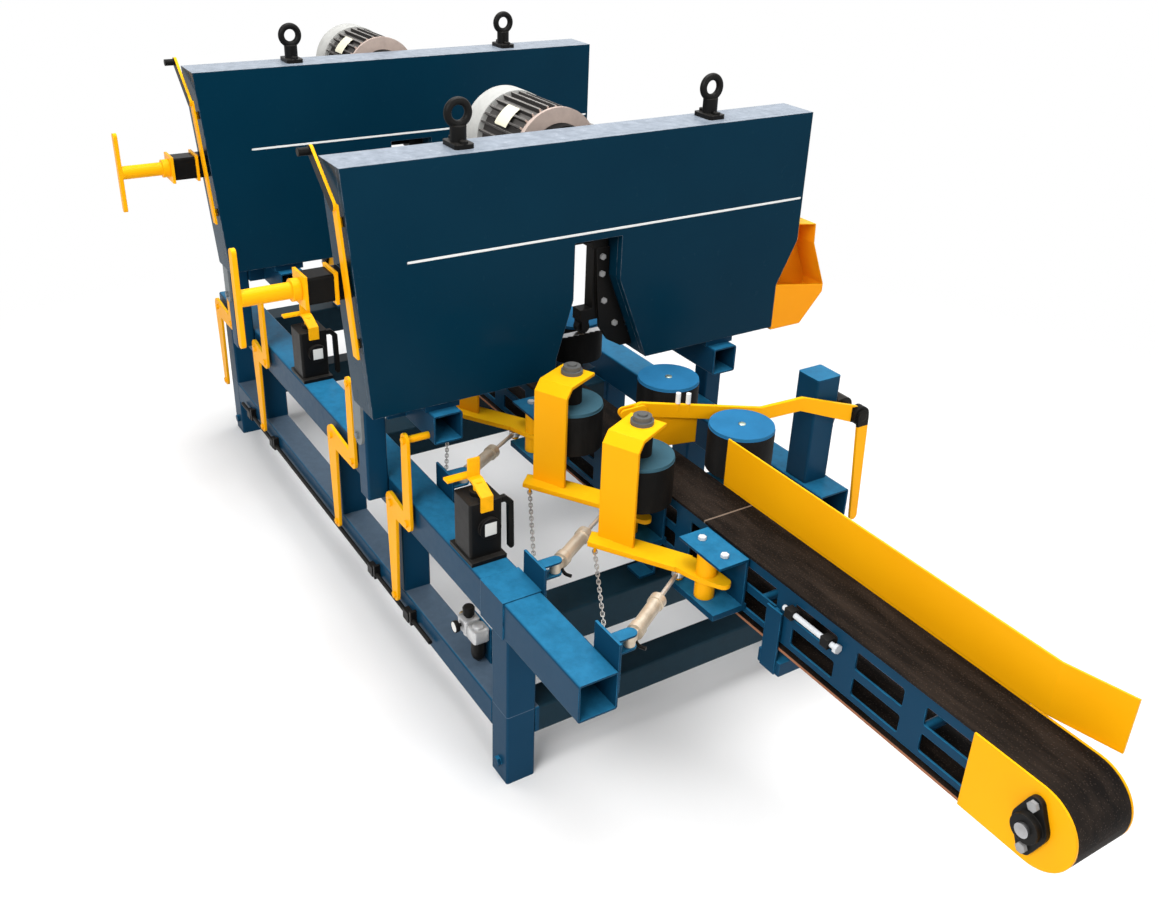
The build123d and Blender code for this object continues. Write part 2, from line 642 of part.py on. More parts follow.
def chain_line():
    """Start and end of a limit chain."""
    end = Vector(CLEVIS_PIN[0] + CHAIN_END[0], RAIL_INSIDE + CHAIN_END[1], CHAIN_END[2])
    return Vector(*CHAIN_START), end


def chain_pins():
    """Where the pegs stand inside the first and last link."""
    start, end = chain_line()
    step = (end - start).normalized() * (CHAIN_PIN / 2 + LINK_SLACK)
    return start + step, end - step


def cylinder_line():
    """Length and direction from the clevis pin to the rod pin, and a placing along it."""
    dx = ROD_PIN[0] - CLEVIS_PIN[0]
    dy = ROD_PIN[1] - CLEVIS_PIN[1]
    plane = Plane(origin=(*CLEVIS_PIN, CYLINDER_Z), x_dir=(0, 0, 1), z_dir=(dx, dy, 0))
    return math.hypot(dx, dy), plane.location


def rod_length(radius, low, high):
    """Round bar along the cylinder line between two distances from the clevis pin."""
    return Pos(0, 0, low) * extrude(Circle(radius), amount=high - low)


def cylinder():
    """Air cylinder body with end caps and a tail eye on the clevis pin."""
    place = cylinder_line()[1]
    end = CYLINDER_TAIL + CYLINDER_LENGTH
    body = rod_length(CYLINDER_DIA / 2, CYLINDER_TAIL, end)
    for low in (CYLINDER_TAIL, end - CYLINDER_CAP):
        body += rod_length(CYLINDER_DIA / 2 + 4, low, low + CYLINDER_CAP)
    body += Pos(0, 0, CYLINDER_TAIL / 2) * Box(30, 24, CYLINDER_TAIL)
    body += Rot(0, 90, 0) * Cylinder(17, 34)
    body -= Rot(0, 90, 0) * Cylinder(CLEVIS_PIN_DIA / 2 + RUN_FIT, 60)
    gland = rod_length(ROD_DIA / 2 + RUN_FIT, CYLINDER_TAIL + 20, end + 20)
    return place * (body - gland)


def cylinder_rod():
    """Rod with the eye that hangs on the arm's pin."""
    length, place = cylinder_line()
    rod = rod_length(ROD_DIA / 2, CYLINDER_TAIL + 75, length)
    eye = Pos(0, 0, length) * Rot(0, 90, 0) * Cylinder(20, 18)
    hole = Pos(0, 0, length) * Rot(0, 90, 0) * Cylinder(ROD_PIN_DIA / 2 + EYE_PLAY, 40)
    return place * (rod + eye - hole)


def pivot_bracket():
    """Blue bracket on the left side plate that carries the arm's pivot pin."""
    x, y = ARM_PIVOT
    long, wide, thick = PIVOT_PLATE
    edge = -PRESS_ROLL_Y - BELT_HALF - 3
    low = y - 40
    span = (x - long / 2, x + long / 2)
    side = -PRESS_ROLL_Y - SIDE_FACE
    lower = block(span, (low, side), (PIVOT_LOW_Z, PIVOT_LOW_Z + 20))
    web = block(span, (edge - 8, edge), (PIVOT_LOW_Z + 20, BED_TOP - thick))
    upper = block(span, (edge - wide, edge), (BED_TOP - thick, BED_TOP))
    pin = along_z(round_face(PIVOT_PIN_DIA / 2, at=ARM_PIVOT), PIVOT_LOW_Z, BED_TOP)
    bolts = [Pos(x + dx, y + 18, BED_TOP) * hex_head(22, 9) for dx in (-52, 52)]
    return [lower + web + upper + pin] + bolts


def clevis_bracket():
    """Bracket on the inner face of the left rail with the tail pin and the chain's ring."""
    x, y = CLEVIS_PIN
    face = RAIL_INSIDE + 8
    back = block((x - 82, x + 40), (RAIL_INSIDE, face), (RAIL_TOP - 80, CYLINDER_Z + 30))
    end = chain_pins()[1]
    back += block((end.X - 10, end.X + 10), (face, end.Y + 10), (end.Z - 24, end.Z - 18))
    back += along_z(round_face(CHAIN_PIN / 2, at=(end.X, end.Y)), end.Z - 18, end.Z + 14)
    ear = round_face(CLEVIS_EAR, at=CLEVIS_PIN)
    ear += Pos(x, (y + face) / 2) * Rectangle(2 * CLEVIS_EAR, y - face)
    for low in (CYLINDER_Z - 25, CYLINDER_Z + 19):
        back += along_z(ear, low, low + 6)
    return back + along_z(round_face(CLEVIS_PIN_DIA / 2, at=CLEVIS_PIN), CYLINDER_Z - 25, CYLINDER_Z + 25)


def link_oval(length, width):
    """Rectangle with its corners cut off."""
    x, y = length / 2, width / 2
    cut = width / 4.5
    return outline([(-x, cut - y), (cut - x, -y), (x - cut, -y), (x, cut - y),
                    (x, y - cut), (x - cut, y), (cut - x, y), (-x, y - cut)])


def chain_link(pitch):
    """Flat oval link lying along X, with a little slack over the pitch."""
    hole = pitch + LINK_SLACK
    ring = link_oval(hole + 2 * LINK_WIRE, LINK_WIDTH) - link_oval(hole, LINK_WIDTH - 2 * LINK_WIRE)
    return extrude(ring, amount=LINK_WIRE / 2, both=True)


def limit_chain():
    """Chain from the arm's foot to the clevis bracket; neighbouring links stand crosswise."""
    start, end = chain_line()
    line = end - start
    pitch = line.length / LINK_COUNT
    links = []
    for step in range(LINK_COUNT):
        middle = start + line * ((step + 0.5) / LINK_COUNT)
        plane = Plane(origin=middle, x_dir=line, z_dir=Vector(0, 0, 1) - line * (line.Z / line.length ** 2))
        links.append(plane.location * Rot(90 * (step % 2), 0, 0) * chain_link(pitch))
    return links


def press_units():
    """Three alike press units, each placed by its roll axis."""
    brackets = []
    chains = []
    for number, x in enumerate(ROLL_X, 1):
        place = Pos(x, PRESS_ROLL_Y, 0)
        save(f"press_arm_{number}", *[place * solid for solid in press_arm()])
        save(f"press_roll_{number}", *[place * solid for solid in press_roll()])
        save(f"cylinder_{number}", place * cylinder())
        save(f"cylinder_rod_{number}", place * cylinder_rod())
        brackets += [place * solid for solid in pivot_bracket() + [clevis_bracket()]]
        chains += [place * solid for solid in limit_chain()]
    save("press_brackets", *brackets)
    save("limit_chains", *chains)


def hold_down_arm():
    """Bent arm over the timber with a hanging shoe, on a shaft that also carries the lever."""
    y, z = HOLD_PIVOT
    x = HOLD_POST_X + POST / 2 + HOLD_ARM_AHEAD
    half = HOLD_ARM_HEIGHT / 2
    front = x + HOLD_ARM_THICK
    bends = ((y, z, 30), (*HOLD_KNEE, half), (*HOLD_DIP, half), (*HOLD_TIP, half))
    lengths = [along_x(strap(*pair), x, front) for pair in zip(bends, bends[1:])]
    lengths[1] -= lengths[0]
    lengths[2] -= lengths[1]
    end = (HOLD_TIP[0] - 55, HOLD_TIP[1] - 6)
    fork = [along_x(strap((*HOLD_TIP, 18), (*end, 16)), low, low + 7) for low in (x - 7, front)]
    shoe = block((x - SHOE_THICK, x), SHOE_Y, SHOE_Z)
    slope = (HOLD_TIP[1] - HOLD_DIP[1]) / (HOLD_TIP[0] - HOLD_DIP[0])
    studs = []
    for across in STUDS_Y:
        height = HOLD_TIP[1] + (across - HOLD_TIP[0]) * slope
        stud = along_z(round_face(8, at=(x + HOLD_ARM_THICK / 2, across)), height, height + 62)
        studs.append(stud - lengths[2])
    skew = Pos(x + HOLD_ARM_THICK / 2, y, 0) * Rot(0, 0, -HOLD_SKEW) * Pos(-x - HOLD_ARM_THICK / 2, -y, 0)
    shaft = along_x(round_face(HOLD_SHAFT / 2, at=HOLD_PIVOT), HOLD_POST_X - 45, front + 18)
    shaft += along_x(round_face(34, at=HOLD_PIVOT), x - 8, front + 8)
    lever = along_x(strap((y, z, 24), (y + 30, z - LEVER_LENGTH, 16)), front + 8, front + 18)
    swung = [skew * solid for solid in (*lengths, *fork, shoe, *studs)]
    swung[0] -= shaft
    save("hold_down_arm", *swung, shaft, lever - shaft)


def left_end(z):
    """How far left the leaning end of a head lies at a height."""
    return -HEAD_HALF + END_LEAN * (HEAD_TOP - z) / (HEAD_TOP - HEAD_BOTTOM)


def head_outline():
    """Front view of a head: a long case with a throat cut up from below."""
    low = HEAD_BOTTOM
    t = THROAT_HALF
    left_up, left_down, left_out = THROAT_LEFT
    right_up, right_out = THROAT_RIGHT
    step_up, step_down = RIGHT_STEP_Z
    return outline([(-HEAD_HALF, HEAD_TOP), (HEAD_HALF, HEAD_TOP), (HEAD_HALF, step_up),
                    (HEAD_HALF - RIGHT_STEP, step_down), (HEAD_HALF - RIGHT_STEP, low), (t + right_out, low),
                    (t, right_up), (t, THROAT_TOP), (-t, THROAT_TOP), (-t, left_up),
                    (-t - left_out, left_down), (-t - left_out, low), (left_end(low), low)])


def head_housing():
    """Tray of the head with wheel bearing, band slot and the tension tube."""
    face = head_outline()
    rear = -HEAD_DEPTH
    tray = along_x(wall_ring(face, SHEET), rear, -COVER_DEPTH)
    tray += along_x(face, rear, rear + BACK_SHEET)
    bearing = (WHEEL_Y, WHEEL_Z)
    tray += along_x(round_face(48, at=bearing), rear - BEARING_TUBE, rear + BACK_SHEET)
    tray -= along_x(round_face(WHEEL_SHAFT / 2 + RUN_FIT, at=bearing), rear - BEARING_TUBE, rear + BACK_SHEET)
    run = WHEEL_Z - BAND_R
    tray -= block((-WHEEL_PLANE - 30, -WHEEL_PLANE + 30), (-210, 240), (run - 21, run + 21))
    tray -= along_y(round_face(14, at=(-WHEEL_PLANE, WHEEL_Z)), -HEAD_HALF, left_end(WHEEL_Z) + 20)
    return [tray] + tension_tube() + [guide_rail()]


def tension_tube():
    """Square tube outside the left end that carries the tension screw, with a yellow plate at each end."""
    far = -HEAD_HALF - TENSION_REACH
    x = -WHEEL_PLANE
    beside = outline([(far - 40, HEAD_TOP), (-HEAD_HALF, HEAD_TOP), (left_end(HEAD_BOTTOM), HEAD_BOTTOM),
                      (far - 40, HEAD_BOTTOM)])
    size = TENSION_TUBE
    tube = tube_y(size, x - size / 2, (far, left_end(WHEEL_Z) + 2), WHEEL_Z - size / 2)
    tube &= along_x(beside, -HEAD_DEPTH, 0)
    square = Pos(x, WHEEL_Z) * Rectangle(size + 16, size + 16)
    plate = along_y(square - round_face(10 + RUN_FIT, at=(x, WHEEL_Z)), far - 10, far)
    near = -HEAD_HALF - 2
    collar = along_y(square - Pos(x, WHEEL_Z) * RectangleRounded(size, size, TUBE_CORNER), near - 10, near)
    return [tube, plate, collar]


def guide_rail():
    """T-shaped rail on the roof of the throat."""
    x = -WHEEL_PLANE
    low = THROAT_TOP - GUIDE_WEB
    rail = block((x - 7, x + 7), (-85, 85), (low, THROAT_TOP))
    return rail + block((x - 18, x + 18), (-85, 85), (low - 10, low))


def guide_arm():
    """Blade guide: saddle on the T rail, drop bar, front plate, and a back-up roller over the band."""
    x = -WHEEL_PLANE
    low = THROAT_TOP - GUIDE_WEB
    foot = low - 28
    run = WHEEL_Z - BAND_R
    arm = block((x - 32, x + 32), (20, 80), (foot, low + 6.5))
    arm -= block((x - 18.5, x + 18.5), (20, 80), (low - 10.5, low + 0.5))
    arm -= block((x - 7.5, x + 7.5), (20, 80), (low + 0.5, low + 6.5))
    arm += block((x - 24, x + 24), (32, 78), (run + 60, foot))
    arm += block((x - 24, x + 24), (-14, 78), (run + 52, run + 92))
    centre = (8, run + 24 + SEAT_GAP)
    for side in (x - 24, x + 16):
        arm += along_x(strap((*centre, 14), (centre[0], run + 60, 14)), side, side + 8)
    right_up, right_out = THROAT_RIGHT
    edge = THROAT_HALF - GUIDE_EDGE
    lean = right_out / (right_up - HEAD_BOTTOM)
    end = run - 62
    plate = outline([(36, foot), (edge, foot), (edge, right_up), (edge + lean * (right_up - end), end),
                     (edge + 62, end), (edge + 8, run - 30), (edge - 28, run + 22), (44, run + 140)])
    arm += along_x(plate, x + 24, x + 36)
    bolts = [Pos(x + 36, y, z) * Rot(0, 90, 0) * hex_head(20, 8)
             for y, z in ((58, foot - 30), (58, foot - 90), (70, run + 120), (118, run + 30))]
    roller = along_x(round_face(23.5, at=centre), x - 15, x + 15)
    pin = along_x(round_face(7, at=centre), x - 16, x + 16)
    return [arm, roller - pin, pin] + bolts


def head_cover():
    """Shallow front pan that closes the tray."""
    face = head_outline()
    rear = -COVER_DEPTH + 0.5
    pan = along_x(face, -SHEET, 0) + along_x(wall_ring(face, SHEET), rear, -SHEET)
    return [pan]


def wheel_disc(bore):
    """Band wheel: rim, web with round windows and a hub."""
    half = WHEEL_FACE / 2
    rim = along_x(round_face(WHEEL_R, bore=WHEEL_R - 34), -half, half)
    web = Circle(WHEEL_R - 34) - Circle(bore)
    for step in range(6):
        angle = math.radians(60 * step + 30)
        web -= Pos(185 * math.cos(angle), 185 * math.sin(angle)) * Circle(62)
    return rim + along_x(web, -7, 7) + along_x(round_face(58, bore=bore), -half, half)


def drive_wheel():
    """Driven band wheel with its shaft and the belt pulley behind the case."""
    place = Pos(-WHEEL_PLANE, WHEEL_Y, WHEEL_Z)
    behind = -HEAD_DEPTH - BEARING_TUBE - 5 + WHEEL_PLANE
    shaft = along_x(round_face(WHEEL_SHAFT / 2), behind - PULLEY_WIDTH - 4, 24)
    pulley = along_x(round_face(WHEEL_PULLEY_DIA / 2, bore=WHEEL_SHAFT / 2), behind - PULLEY_WIDTH, behind)
    return [place * wheel_disc(WHEEL_SHAFT / 2), place * shaft, place * pulley]


def idle_wheel():
    place = Pos(-WHEEL_PLANE, -WHEEL_Y, WHEEL_Z)
    return [place * wheel_disc(WHEEL_SHAFT / 2 + RUN_FIT)]


def tension_nut():
    """Where the nut on the tension slide begins and ends, outside the band."""
    end = -WHEEL_Y - BAND_R - BAND_THICK - NUT_ROOM
    return end - NUT_THICK, end


def tension_slide():
    """Slide behind the idle wheel: axle, tongue and the nut that the tension screw turns in."""
    rear = -HEAD_DEPTH + BACK_SHEET + 1
    front = -WHEEL_PLANE - WHEEL_FACE / 2 - 3
    nut = tension_nut()
    slide = block((rear, front), (nut[0], -WHEEL_Y + 70), (WHEEL_Z - 45, WHEEL_Z + 45))
    slide += block((rear, -WHEEL_PLANE + 24), nut, (WHEEL_Z - 30, WHEEL_Z + 30))
    slide += along_x(round_face(WHEEL_SHAFT / 2, at=(-WHEEL_Y, WHEEL_Z)), front, -WHEEL_PLANE + 30)
    slide -= along_y(round_face(10 + RUN_FIT, at=(-WHEEL_PLANE, WHEEL_Z)), *nut)
    return [slide]


def tension_handle():
    """T handle: screw, tubular sleeve, collar and flat crossbar."""
    x = -WHEEL_PLANE
    z = WHEEL_Z
    plate = -HEAD_HALF - TENSION_REACH - 10
    end = -HANDLE_REACH
    screw = along_y(round_face(10, at=(x, z)), plate - 60, tension_nut()[1] - 7)
    collar = along_y(round_face(34, at=(x, z)), plate - SEAT_GAP - 26, plate - SEAT_GAP)
    sleeve = along_y(round_face(25, at=(x, z)), end + 14, plate - SEAT_GAP - 26)
    bar = along_y(Pos(x, z) * RectangleRounded(32, HANDLE_BAR, 14), end, end + 14)
    return [screw + collar + sleeve + bar]


def saw_band():
    ends = (-WHEEL_Y, WHEEL_Y)
    outer = strap(*[(y, WHEEL_Z, BAND_R + BAND_THICK) for y in ends])
    inner = strap(*[(y, WHEEL_Z, BAND_R) for y in ends])
    return [along_x(outer - inner, -WHEEL_PLANE - BAND_WIDTH / 2, -WHEEL_PLANE + BAND_WIDTH / 2)]


def motor_front():
    """Where the motor's mounting face lies behind the head front."""
    return -HEAD_DEPTH - BEARING_TUBE - PULLEY_WIDTH - 11


def motor():
    """Finned motor on a flange that stands off the back of the head on three posts."""
    front = motor_front()
    axis = (MOTOR_Y, MOTOR_Z)
    core = MOTOR_DIA / 2 - FIN_HEIGHT
    flange = along_x(round_face(MOTOR_DIA / 2 + 3, bore=24 + RUN_FIT, at=axis), front - 12, front)
    fins = Circle(core)
    for step in range(MOTOR_FINS):
        fin = Pos(core + FIN_HEIGHT / 2 - 4, 0) * Rectangle(FIN_HEIGHT + 8, 7)
        fins += Rot(0, 0, 360 / MOTOR_FINS * step) * fin
    fins -= Circle(24 + RUN_FIT)
    bell = along_x(round_face(core + 6, bore=24 + RUN_FIT, at=axis), front - 42, front - 12)
    body = along_x(Pos(*axis) * fins, front - MOTOR_LENGTH + 95, front - 42)
    cowl = along_x(round_face(MOTOR_DIA / 2 + 3, at=axis), front - MOTOR_LENGTH, front - MOTOR_LENGTH + 95)
    side = MOTOR_Y + core - 10
    box = block((front - 230, front - 110), (side, side + 95), (MOTOR_Z - 50, MOTOR_Z + 50)) - body
    posts = []
    reach = MOTOR_DIA / 2 - 16
    for angle in (175, 238, 333):
        turn = math.radians(angle)
        at = (MOTOR_Y + reach * math.cos(turn), MOTOR_Z + reach * math.sin(turn))
        posts.append(along_x(round_face(14, at=at), front, -HEAD_DEPTH))
    return [flange + bell + body, cowl, box] + posts


def motor_pulley():
    front = motor_front()
    axis = (MOTOR_Y, MOTOR_Z)
    disc = along_x(round_face(MOTOR_PULLEY_DIA / 2, at=axis), front + 6, front + 6 + PULLEY_WIDTH)
    shaft = along_x(round_face(24, at=axis), front - 36, front + 6)
    return [disc + shaft]


def drive_belt():
    front = motor_front()
    ends = ((MOTOR_Y, MOTOR_Z, MOTOR_PULLEY_DIA / 2), (WHEEL_Y, WHEEL_Z, WHEEL_PULLEY_DIA / 2))
    inner = strap(*[(y, z, r + SEAT_GAP) for y, z, r in ends])
    outer = strap(*[(y, z, r + SEAT_GAP + DRIVE_BELT_THICK) for y, z, r in ends])
    return [along_x(outer - inner, front + 8, front + 4 + PULLEY_WIDTH)]


def hoist_rings():
    """Two swivel lifting eyes bolted on top of the head."""
    pieces = []
    for y in HOIST_Y:
        x = -90
        base = along_z(Pos(x, y) * RectangleRounded(96, 64, 12), HEAD_TOP, HEAD_TOP + 14)
        post = along_z(round_face(25, at=(x, y)), HEAD_TOP + 14, HEAD_TOP + 62)
        ring = Pos(x, y, HEAD_TOP + 98) * Rot(0, 90, 0) * Torus(34, 12)
        pieces.append(base + post + ring)
        for dx in (-37, 37):
            pieces.append(Pos(x + dx, y, HEAD_TOP + 14) * hex_head(22, 9))
    return pieces


def chute():
    """Sawdust scoop of folded sheet on the right end: open above its front pocket and at the bottom."""
    step_up, step_down = RIGHT_STEP_Z
    wall = HEAD_HALF - RIGHT_STEP
    low = HEAD_BOTTOM - 12
    face = outline([(HEAD_HALF, step_up + 60), (HEAD_HALF + 85, step_up + 48), (HEAD_HALF + 89, step_up - 27),
                    (CHUTE_REACH, step_up - 197), (CHUTE_REACH, step_up - 228), (HEAD_HALF + 64, low),
                    (wall, low), (wall, step_down), (HEAD_HALF, step_up)])
    front = -2
    rear = front - CHUTE_WIDTH
    duct = along_x(face, rear, front)
    duct -= along_x(offset(face, amount=-3, kind=Kind.INTERSECTION), rear + 3, front - 3)
    rim = outline([(wall + 3, low + CHUTE_RIM + 48), (CHUTE_REACH - 3, low + CHUTE_RIM + 12),
                   (CHUTE_REACH - 3, step_up + 80), (wall + 3, step_up + 80)])
    mouth = offset(face, amount=-3, kind=Kind.INTERSECTION) & rim
    duct -= along_x(mouth, front - 3, front)
    return [duct - block((rear + 3, front - 3), (wall + 6, HEAD_HALF - 4), (low - 5, low + 5))]


def latch_bar():
    """Yellow bar along the left front edge; a second bar turns back over the top and ends in a black knob."""
    low, bend = 1270.0, 1750.0
    strip = outline([(left_end(low) - LATCH_OUT, low), (left_end(low) - LATCH_OUT + 8, low),
                     (left_end(bend) - LATCH_OUT + 8, bend), (left_end(bend) - LATCH_OUT, bend)])
    bar = along_x(strip, -40, -5)
    y = left_end(bend) - LATCH_OUT
    top = (-170, HEAD_TOP + 12)
    bar += along_y(strap((-22, bend - 4, 17.5), (*top, 17.5)), y - 8, y + 2)
    for z in (low + 40, bend - 60):
        lug = block((-36, -28), (left_end(z) - LATCH_OUT + 4, left_end(z) + 2), (z - 14, z + 14))
        bar += lug - head_block()
    return [bar, along_y(round_face(12, at=top), y - 42, y - 8)]


def head_block():
    """The solid shape of a head without its depth details, to trim pieces that sit on it."""
    return along_x(head_outline(), -HEAD_DEPTH, 0)


def carriage():
    """Two long tubes under the head with pads, and a leg each side that runs on the rail."""
    pieces = []
    low = CARRIAGE_TOP - CARRIAGE_TUBE
    span = (CARRIAGE_FRONT - CARRIAGE_LENGTH, CARRIAGE_FRONT)
    for side in (-1, 1):
        middle = side * CARRIAGE_Y
        inner = middle - CARRIAGE_TUBE / 2
        face = side * (CARRIAGE_Y + CARRIAGE_TUBE / 2)
        pieces.append(tube_x(CARRIAGE_TUBE, span, inner, low))
        pieces.append(block((-HEAD_DEPTH + 8, -20), (middle - 60, middle + 60), (CARRIAGE_TOP, HEAD_BOTTOM)))
        leg_low = LEG_FACE if side > 0 else -LEG_FACE - LEG
        bridge = sorted((face, side * LEG_FACE))
        pieces.append(block((-LEG_BACK - 55, -LEG_BACK + 55), bridge, (low + 10, CARRIAGE_TOP - 10)))
        pieces.append(tube_z(LEG, -LEG_BACK - LEG / 2, leg_low, (LEG_BOTTOM, LEG_TOP)))
        cap_y = sorted((side * LEG_FACE, side * (LEG_FACE + LEG)))
        pieces.append(block((-LEG_BACK - LEG / 2, -LEG_BACK + LEG / 2), cap_y, (LEG_TOP, LEG_TOP + 5)))
    outer = -LEG_FACE - LEG
    plate = strap((-LEG_BACK, LEG_TOP - 40, 34), (-LEG_BACK, 880, 34))
    pieces.append(along_y(plate, outer - 10, outer))
    for z in (LEG_TOP - 40, 880):
        pieces.append(Pos(-LEG_BACK, outer - 10, z) * Rot(90, 0, 0) * hex_head(22, 9))
    return pieces


def lift_hangers():
    """Yellow Z-shaped bars beside the left rail, hung from the carriage tube."""
    wide, thick = HANGER_BAR
    y = (-HANGER_Y - thick, -HANGER_Y)
    tube_face_y = -CARRIAGE_Y - CARRIAGE_TUBE / 2
    low = CARRIAGE_TOP - CARRIAGE_TUBE
    pieces = []
    for back, step in zip(HANGER_BACK, HANGER_STEPS):
        x = -back
        shape = strap((x, low + 20, wide / 2), (x, HANGER_CROSS_Z, wide / 2),
                      (x - step, HANGER_CROSS_Z + 10, wide / 2), (x - step, HANGER_BOTTOM, wide / 2))
        pieces.append(along_y(shape, *y))
        pieces.append(along_y(round_face(12, at=(x, low + 20)), -HANGER_Y, tube_face_y))
        spots = ((x, low + 20), (x, HANGER_CROSS_Z),
                 (x - step, HANGER_CROSS_Z + 10), (x - step, HANGER_BOTTOM))
        for across, height in spots:
            pieces.append(Pos(across, y[0], height) * Rot(90, 0, 0) * hex_head(22, 8))
    return pieces


HEAD_PIECES = {
    "head_housing": head_housing, "head_cover": head_cover, "hoist_rings": hoist_rings,
    "motor": motor, "motor_pulley": motor_pulley, "drive_belt": drive_belt,
    "drive_wheel": drive_wheel, "idle_wheel": idle_wheel, "saw_band": saw_band,
    "tension_handle": tension_handle, "tension_slide": tension_slide, "guide_arm": guide_arm,
    "chute": chute, "latch_bar": latch_bar, "carriage": carriage, "lift_hangers": lift_hangers,
}


def heads():
    """Make each head piece once and place it for both heads."""
    for name, make in HEAD_PIECES.items():
        solids = make()
        for number, front in enumerate(HEAD_FRONTS, 1):
            save(f"{name}_{number}", *[Pos(front, 0, 0) * solid for solid in solids])


os.makedirs("parts", exist_ok=True)
floor_frame()
lift_gearboxes()
conveyor_bed()
conveyor_belt()
end_plates()
bearing_units()
end_pulley("nose_pulley", 1)
end_pulley("tail_pulley", -1)
gearmotor()
fence()
fence_rolls()
press_units()
hold_down_arm()
heads()
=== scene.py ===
import math
import bmesh
import bpy
import numpy as np
from mathutils import Matrix, Vector


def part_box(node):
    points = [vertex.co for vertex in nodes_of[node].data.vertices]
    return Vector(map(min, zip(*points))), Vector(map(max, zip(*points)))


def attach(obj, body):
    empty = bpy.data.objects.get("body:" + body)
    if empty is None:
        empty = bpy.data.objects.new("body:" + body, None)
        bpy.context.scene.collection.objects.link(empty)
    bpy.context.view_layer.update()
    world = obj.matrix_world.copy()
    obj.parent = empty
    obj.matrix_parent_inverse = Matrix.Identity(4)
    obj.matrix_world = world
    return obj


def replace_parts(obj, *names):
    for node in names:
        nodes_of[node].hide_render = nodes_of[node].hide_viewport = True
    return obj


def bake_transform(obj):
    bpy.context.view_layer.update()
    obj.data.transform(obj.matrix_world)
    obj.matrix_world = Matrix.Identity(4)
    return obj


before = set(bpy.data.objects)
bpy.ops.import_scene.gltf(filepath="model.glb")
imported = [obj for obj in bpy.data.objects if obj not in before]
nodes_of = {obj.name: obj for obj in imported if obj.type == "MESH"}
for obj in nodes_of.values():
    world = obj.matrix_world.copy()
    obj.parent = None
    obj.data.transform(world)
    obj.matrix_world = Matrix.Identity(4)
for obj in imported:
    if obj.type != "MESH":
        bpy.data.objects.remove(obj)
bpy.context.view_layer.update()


# Studio. A pale floor under soft lamps, with the camera where the photograph was taken:
# from the front left, above the belt, looking down the conveyor.
CAMERA_AT = Vector((3.1296, -1.9049, 2.7092))
AZIMUTH, ELEVATION, ROLL = math.radians(57.19), math.radians(27.36), math.radians(2.094)
FOCAL_PX, FRAME_W, FRAME_H = 1147.72, 1159, 900
CENTRE_PX = (577.18, 418.59)
SENSOR_MM, FAR_CLIP = 36.0, 100.0
FLOOR_REACH = 30.0
FLOOR_GREYS = (0.90, 0.94)
FLOOR_PLAIN = (2.6, 4.6)      # the floor's own shade fades to plain white between these distances
WORLD_LIGHT = 0.40
LAMPS = (("key", (3.5, -5.5, 5.5), (0, 0, 0.9), 4.0, 400),      # name, place, target, size, watts
         ("fill", (6.5, 2.5, 3.5), (0.5, 0, 0.9), 4.0, 110),
         ("top", (-0.5, 0.5, 6.5), (-0.3, 0, 0.9), 5.0, 430))
SHARP_EDGE = math.radians(50)
MERGE_WITHIN = 1e-6


def aim_camera():
    """Camera axes from azimuth, elevation and roll; lens and shift from the focal length in pixels."""
    back = Vector((math.sin(AZIMUTH) * math.cos(ELEVATION), -math.cos(AZIMUTH) * math.cos(ELEVATION),
                   math.sin(ELEVATION)))
    flat = Vector((math.cos(AZIMUTH), math.sin(AZIMUTH), 0))
    rise = back.cross(flat)
    right = math.cos(ROLL) * flat + math.sin(ROLL) * rise
    up = -math.sin(ROLL) * flat + math.cos(ROLL) * rise
    data = bpy.data.cameras.new("camera")
    data.sensor_width = SENSOR_MM
    data.lens = FOCAL_PX * SENSOR_MM / FRAME_W
    data.shift_x = (FRAME_W / 2 - CENTRE_PX[0]) / FRAME_W
    data.shift_y = -(FRAME_H / 2 - CENTRE_PX[1]) / FRAME_W
    data.clip_end = FAR_CLIP
    camera = bpy.data.objects.new("camera", data)
    camera.matrix_world = Matrix((right, up, back)).transposed().to_4x4()
    camera.matrix_world.translation = CAMERA_AT
    bpy.context.scene.collection.objects.link(camera)
    bpy.context.scene.camera = camera


def lamp(name, place, target, size, watts):
    """Square area lamp turned towards a point."""
    data = bpy.data.lights.new(name, "AREA")
    data.shape = "SQUARE"
    data.size = size
    data.energy = watts
    lamp_object = bpy.data.objects.new(name, data)
    lamp_object.location = place
    lamp_object.rotation_euler = (Vector(target) - Vector(place)).to_track_quat("-Z", "Y").to_euler()
    bpy.context.scene.collection.objects.link(lamp_object)


def grid_mesh(name, points, closed_u=False, closed_v=False):
    """Quads over a grid of points, or over a stack of like grids, of shape (..., rows, columns, 3).

    A grid that is closed in both directions, or ends in poles, becomes a shell: points that meet are
    merged and the faces turned outwards.
    """
    grids = points.reshape(-1, *points.shape[-3:])
    index = np.arange(grids[..., 0].size).reshape(grids.shape[:3])
    if closed_u:
        index = np.concatenate([index, index[:, :1]], axis=1)
    if closed_v:
        index = np.concatenate([index, index[:, :, :1]], axis=2)
    corners = [index[:, :-1, :-1], index[:, :-1, 1:], index[:, 1:, 1:], index[:, 1:, :-1]]
    faces = np.stack(corners, axis=-1).reshape(-1, 4)
    mesh = bpy.data.meshes.new(name)
    mesh.from_pydata(grids.reshape(-1, 3).tolist(), [], faces.tolist())
    if closed_v:
        shell = bmesh.new()
        shell.from_mesh(mesh)
        bmesh.ops.remove_doubles(shell, verts=shell.verts, dist=MERGE_WITHIN)
        bmesh.ops.recalc_face_normals(shell, faces=shell.faces)
        if shell.calc_volume(signed=True) < 0:
            bmesh.ops.reverse_faces(shell, faces=shell.faces)
        shell.to_mesh(mesh)
        shell.free()
    mesh.shade_smooth()
    mesh.set_sharp_from_angle(angle=SHARP_EDGE)
    mesh.update()
    return mesh


